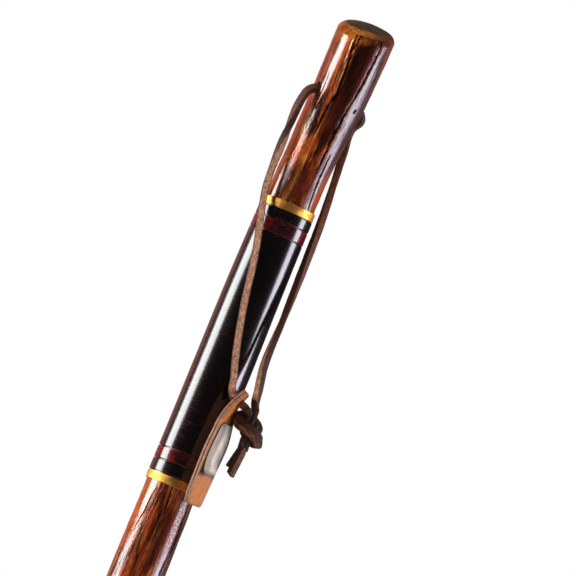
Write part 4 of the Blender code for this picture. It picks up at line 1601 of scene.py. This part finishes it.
# %% Suede for the strands and for the knot
def suede_finish(name, pale, dark, edge, wrinkle, pale_share):
    """Suede with one pale side, darker in its edges and pores, and with painted shade in its creases.
    """
    material = new_finish(name)
    lace = written(material, "lace")
    nap = use_effect(suede_nap, lace, wrinkle)
    across, out, _ = split(lace)
    colour = mix(soft_step(out, 1.1 * MM, 1.6 * MM) * pale_share, dark, pale)
    on_edge = soft_step(abs(across), 1.25 * MM, 1.8 * MM)
    # The creases get painted shade, darkest in the knot's deep wrinkles.
    for darker in ((1.0 - nap) * 0.55, on_edge * 0.8, nap["Pores"] * 0.75, nap["Crease shade"]):
        colour = mix(darker, colour, edge)
    return material, {
        "Base Color": colour,
        "Roughness": nap * -0.15 + 0.85,
        "Normal": bump(nap["Height"]),
        "Sheen Weight": 0.08,
        "Sheen Tint": tint(206, 150, 120),
        "Sheen Roughness": 0.5,
        "Specular IOR Level": 0.2,
    }


smooth_suede = ("strand suede", tint(228, 168, 132), tint(122, 70, 43), tint(60, 31, 20), 0.12, 1.0)
creased_suede = ("knot suede", tint(160, 102, 68), tint(136, 78, 48), tint(34, 15, 9), 0.8, 0.6)
dress([strand_left, strand_right, strand_hole], *suede_finish(*smooth_suede))
dress([knot, *tails], *suede_finish(*creased_suede))

# %% [markdown]
# ### Tag leather and its plate
#
# The tag's faces are tan and smooth, and its cut edge shows the paler, pinkish inside of the
# hide. The dark glue line is the gap between the two layers. Nearly black painted shadow lies on
# the leather beside, above and below the plate. The plate is pale and brushed, with painted shade
# on its left half and at its low end, and dark at its rim.

# %% Tan leather
leather = new_finish("tan leather")
flat = written(leather, "flat")
from_edge = written(leather, "from_edge", 2)
hide = cloud(flat, 420.0, 4.0, 0.6)
pebble = add("TexVoronoi", {"Vector": flat, "Scale": 1500.0, "Randomness": 1.0})
colour = colours(hide, (0.3, 176, 96, 24), (0.5, 192, 110, 32), (0.7, 206, 126, 44))
colour = mix(soft_step(from_edge, 1.6 * MM, 0.2 * MM) * 0.35, colour, tint(112, 54, 16))
print("leather: its face, rubbed darker at the edge")

# %% Painted shadows on the leather beside, above and below the plate, and its cut edge
PAINTED_SHADOWS = (
    # from and to, across the tag, and start, full, fade and end, up the tag, in mm
    (5.8, 7.0, -53, -46, -19, -12),
    (1.5, 5.5, -24, -20, -14, -9),
    (2.0, -5.0, -51.5, -48.8, -48, -46),
)
across, up, _ = split(flat)
painted_shadows = []
for row in PAINTED_SHADOWS:
    near, far, *rows_up = (value * MM for value in row)
    painted_shadows.append(soft_step(across, near, far) * span(up, *rows_up))
# Painted shadow: the leather beside, above and below the plate is darkened nearly black.
colour = mix(largest(*painted_shadows) * 0.95, colour, tint(34, 14, 7))
cut_grain = cloud(flat, (500, 500, 2500), 3.0, 0.6)
cut_colour = colours(cut_grain, (0.32, 116, 66, 40), (0.5, 168, 108, 76), (0.7, 204, 150, 118))
dress(
    tag_layers,
    leather,
    {
        "Base Color": mix(soft_step(from_edge, 0.16 * MM, 0.04 * MM), colour, cut_colour),
        "Roughness": hide * 0.25 + 0.50,
        "Normal": bump(pebble * 0.03 + hide * 0.10),
        "Specular IOR Level": 0.3,
    },
)

# %% Pale plate
pale = new_finish("pale plate")
flat = written(pale, "flat")
brushed = cloud(flat, (1300, 110, 160), 3.0, 0.6)
soft = cloud(flat, 160.0, 2.0)
across, up, _ = split(flat)
# Painted shade: the plate's left half is olive, and its low end, which stands off the leather, is
# dark.
left_half_shade = soft_step(soft * (3 * MM) + across, 2.2 * MM, -2.0 * MM)
shade_at_low_end = soft_step(up, -25.5 * MM, -28.5 * MM)
rim = soft_step(written(pale, "from_edge", 2), 0.5 * MM, 0.1 * MM)
colour = colours(soft, (0.3, 216, 198, 184), (0.5, 234, 218, 206), (0.7, 244, 232, 224))
colour = mix(left_half_shade * (brushed * 0.8 + 0.45), colour, tint(98, 86, 56))
colour = mix(shade_at_low_end * 0.8, colour, tint(70, 52, 40))
dress(
    [plate],
    pale,
    {
        "Base Color": mix(rim, colour, tint(60, 42, 30)),
        "Roughness": left_half_shade * 0.2 + brushed * 0.2 + 0.30,
        "Normal": bump(brushed * 0.02),
        "Metallic": 0.1,
    },
)

# %% [markdown]
# ### Rubber and steel
#
# The foot is plain moulded rubber, grey-brown, with its tread worn dark. The washer under the
# end of the stick can't be seen, but it still gets its own steel finish.

# %% Grey-brown rubber
rubber = new_finish("grey-brown rubber")
place = on_object(rubber)
mould = cloud(place, 900.0, 3.0, 0.6)
blotch = cloud(place, 130.0, 4.0, 0.6)
worn = soft_step(split(place)[2], 6 * MM, 1 * MM) * soft_step(blotch, 0.4, 0.6)
colour = colours(blotch, (0.3, 58, 50, 45), (0.5, 84, 74, 66), (0.72, 112, 101, 92))
dress(
    [foot],
    rubber,
    {
        "Base Color": mix(worn * 0.6, colour, tint(44, 38, 35)),
        "Roughness": mould * 0.2 + 0.58,
        "Normal": bump(mould * 0.06),
    },
)

# %% Steel for the hidden washer
steel = new_finish("washer steel")
turned = cloud(on_object(steel), (900, 900, 60), 3.0, 0.6)
steel_colour = colours(turned, (0.3, 120, 118, 116), (0.7, 176, 174, 172))
shine = {"Base Color": steel_colour, "Roughness": turned * 0.3 + 0.25, "Metallic": 1.0}
dress([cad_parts["ferrule_washer"]], steel, shine)

# %% [markdown]
# ## Floor, world and lamps
#
# The photograph has a pure white background, and the varnish shows two long bright stripes with
# near black between them. So the world is white where the camera sees it, dark in reflections,
# and only dimly warm where they look past the staff's left side. Two tall lamps, one at each
# side, make the stripes. Two soft lamps beside them, which don't show in reflections, light the
# colours: more from the sides than from the front, as in the photograph.

# %% The floor
FLOOR_RADIUS = 2.4
select_only()
bpy.ops.mesh.primitive_circle_add(
    vertices=ROUND, radius=FLOOR_RADIUS, fill_type="NGON", location=(0, 0, 0)
)
floor = bpy.context.object
floor.name = "floor"
pale_floor = new_finish("pale floor")
far = add("VectorMath", {0: on_object(pale_floor)}, out=1, operation="LENGTH")
fades = soft_step(far, FLOOR_RADIUS - 0.1, 0.9)
dress([floor], pale_floor, {"Base Color": (0.86, 0.86, 0.86, 1), "Roughness": 0.9, "Alpha": fades})

# %% The world
WHITE = (1, 1, 1, 1)
AMBIENT = (0.45, 0.45, 0.46, 1)
DARK_REFLECTION = (0.05, 0.046, 0.05, 1)
WARM_REFLECTION = (0.42, 0.31, 0.28, 1)
world = bpy.data.worlds.new("studio")
bpy.context.scene.world = world
world.use_nodes = True
direction = add("TexCoord", {}, 0, world.node_tree)
past_left = add("VectorMath", {0: direction, 1: (-0.43, 0.903, 0)}, 1, operation="DOT_PRODUCT")
reflected = mix(soft_step(past_left, 0.80, 0.90), DARK_REFLECTION, WARM_REFLECTION)
ray = add("LightPath", {}, 0, world.node_tree)
seen = mix(ray["Is Glossy Ray"], AMBIENT, reflected)
seen = mix(ray["Is Transmission Ray"], seen, WHITE)
seen = mix(ray["Is Camera Ray"], seen, WHITE)
fill(world.node_tree.nodes["Background"], {"Color": seen, "Strength": 1.0})
print("world: white to the camera, dark in reflections")


# %% The lamps
def add_lamp(name, degrees, distance, height, size, power, mirrored, aim_height, colour=WHITE):
    """An area lamp round the staff, degrees from the front round to the right."""
    turn = math.radians(degrees)
    place = Vector((-0.01 + distance * math.sin(turn), -distance * math.cos(turn), height))
    bpy.ops.object.light_add(type="AREA", location=place)
    lamp = bpy.context.object
    lamp.name = name
    lamp.data.shape = "RECTANGLE"
    lamp.data.size, lamp.data.size_y = size
    lamp.data.energy = power
    lamp.data.color = colour[:3]
    aim = Vector((-0.01, 0, aim_height)) - place
    lamp.rotation_euler = aim.to_track_quat("-Z", "Y").to_euler()
    lamp.visible_glossy = mirrored
    lamp.visible_diffuse = not mirrored


add_lamp("left stripe", -84, 2.0, 1.1, (1.15, 2.4), 165, True, 1.1)
add_lamp("right stripe", 87, 2.0, 1.1, (0.85, 2.4), 105, True, 1.1, (0.90, 0.86, 1.0))
add_lamp("soft left", -78, 2.2, 1.6, (1.6, 1.6), 33, False, 1.0)
add_lamp("soft right", 76, 2.3, 1.4, (1.4, 1.6), 31, False, 1.0)
print("four lamps")

# %% Plain view settings
bpy.context.scene.view_settings.view_transform = "Standard"
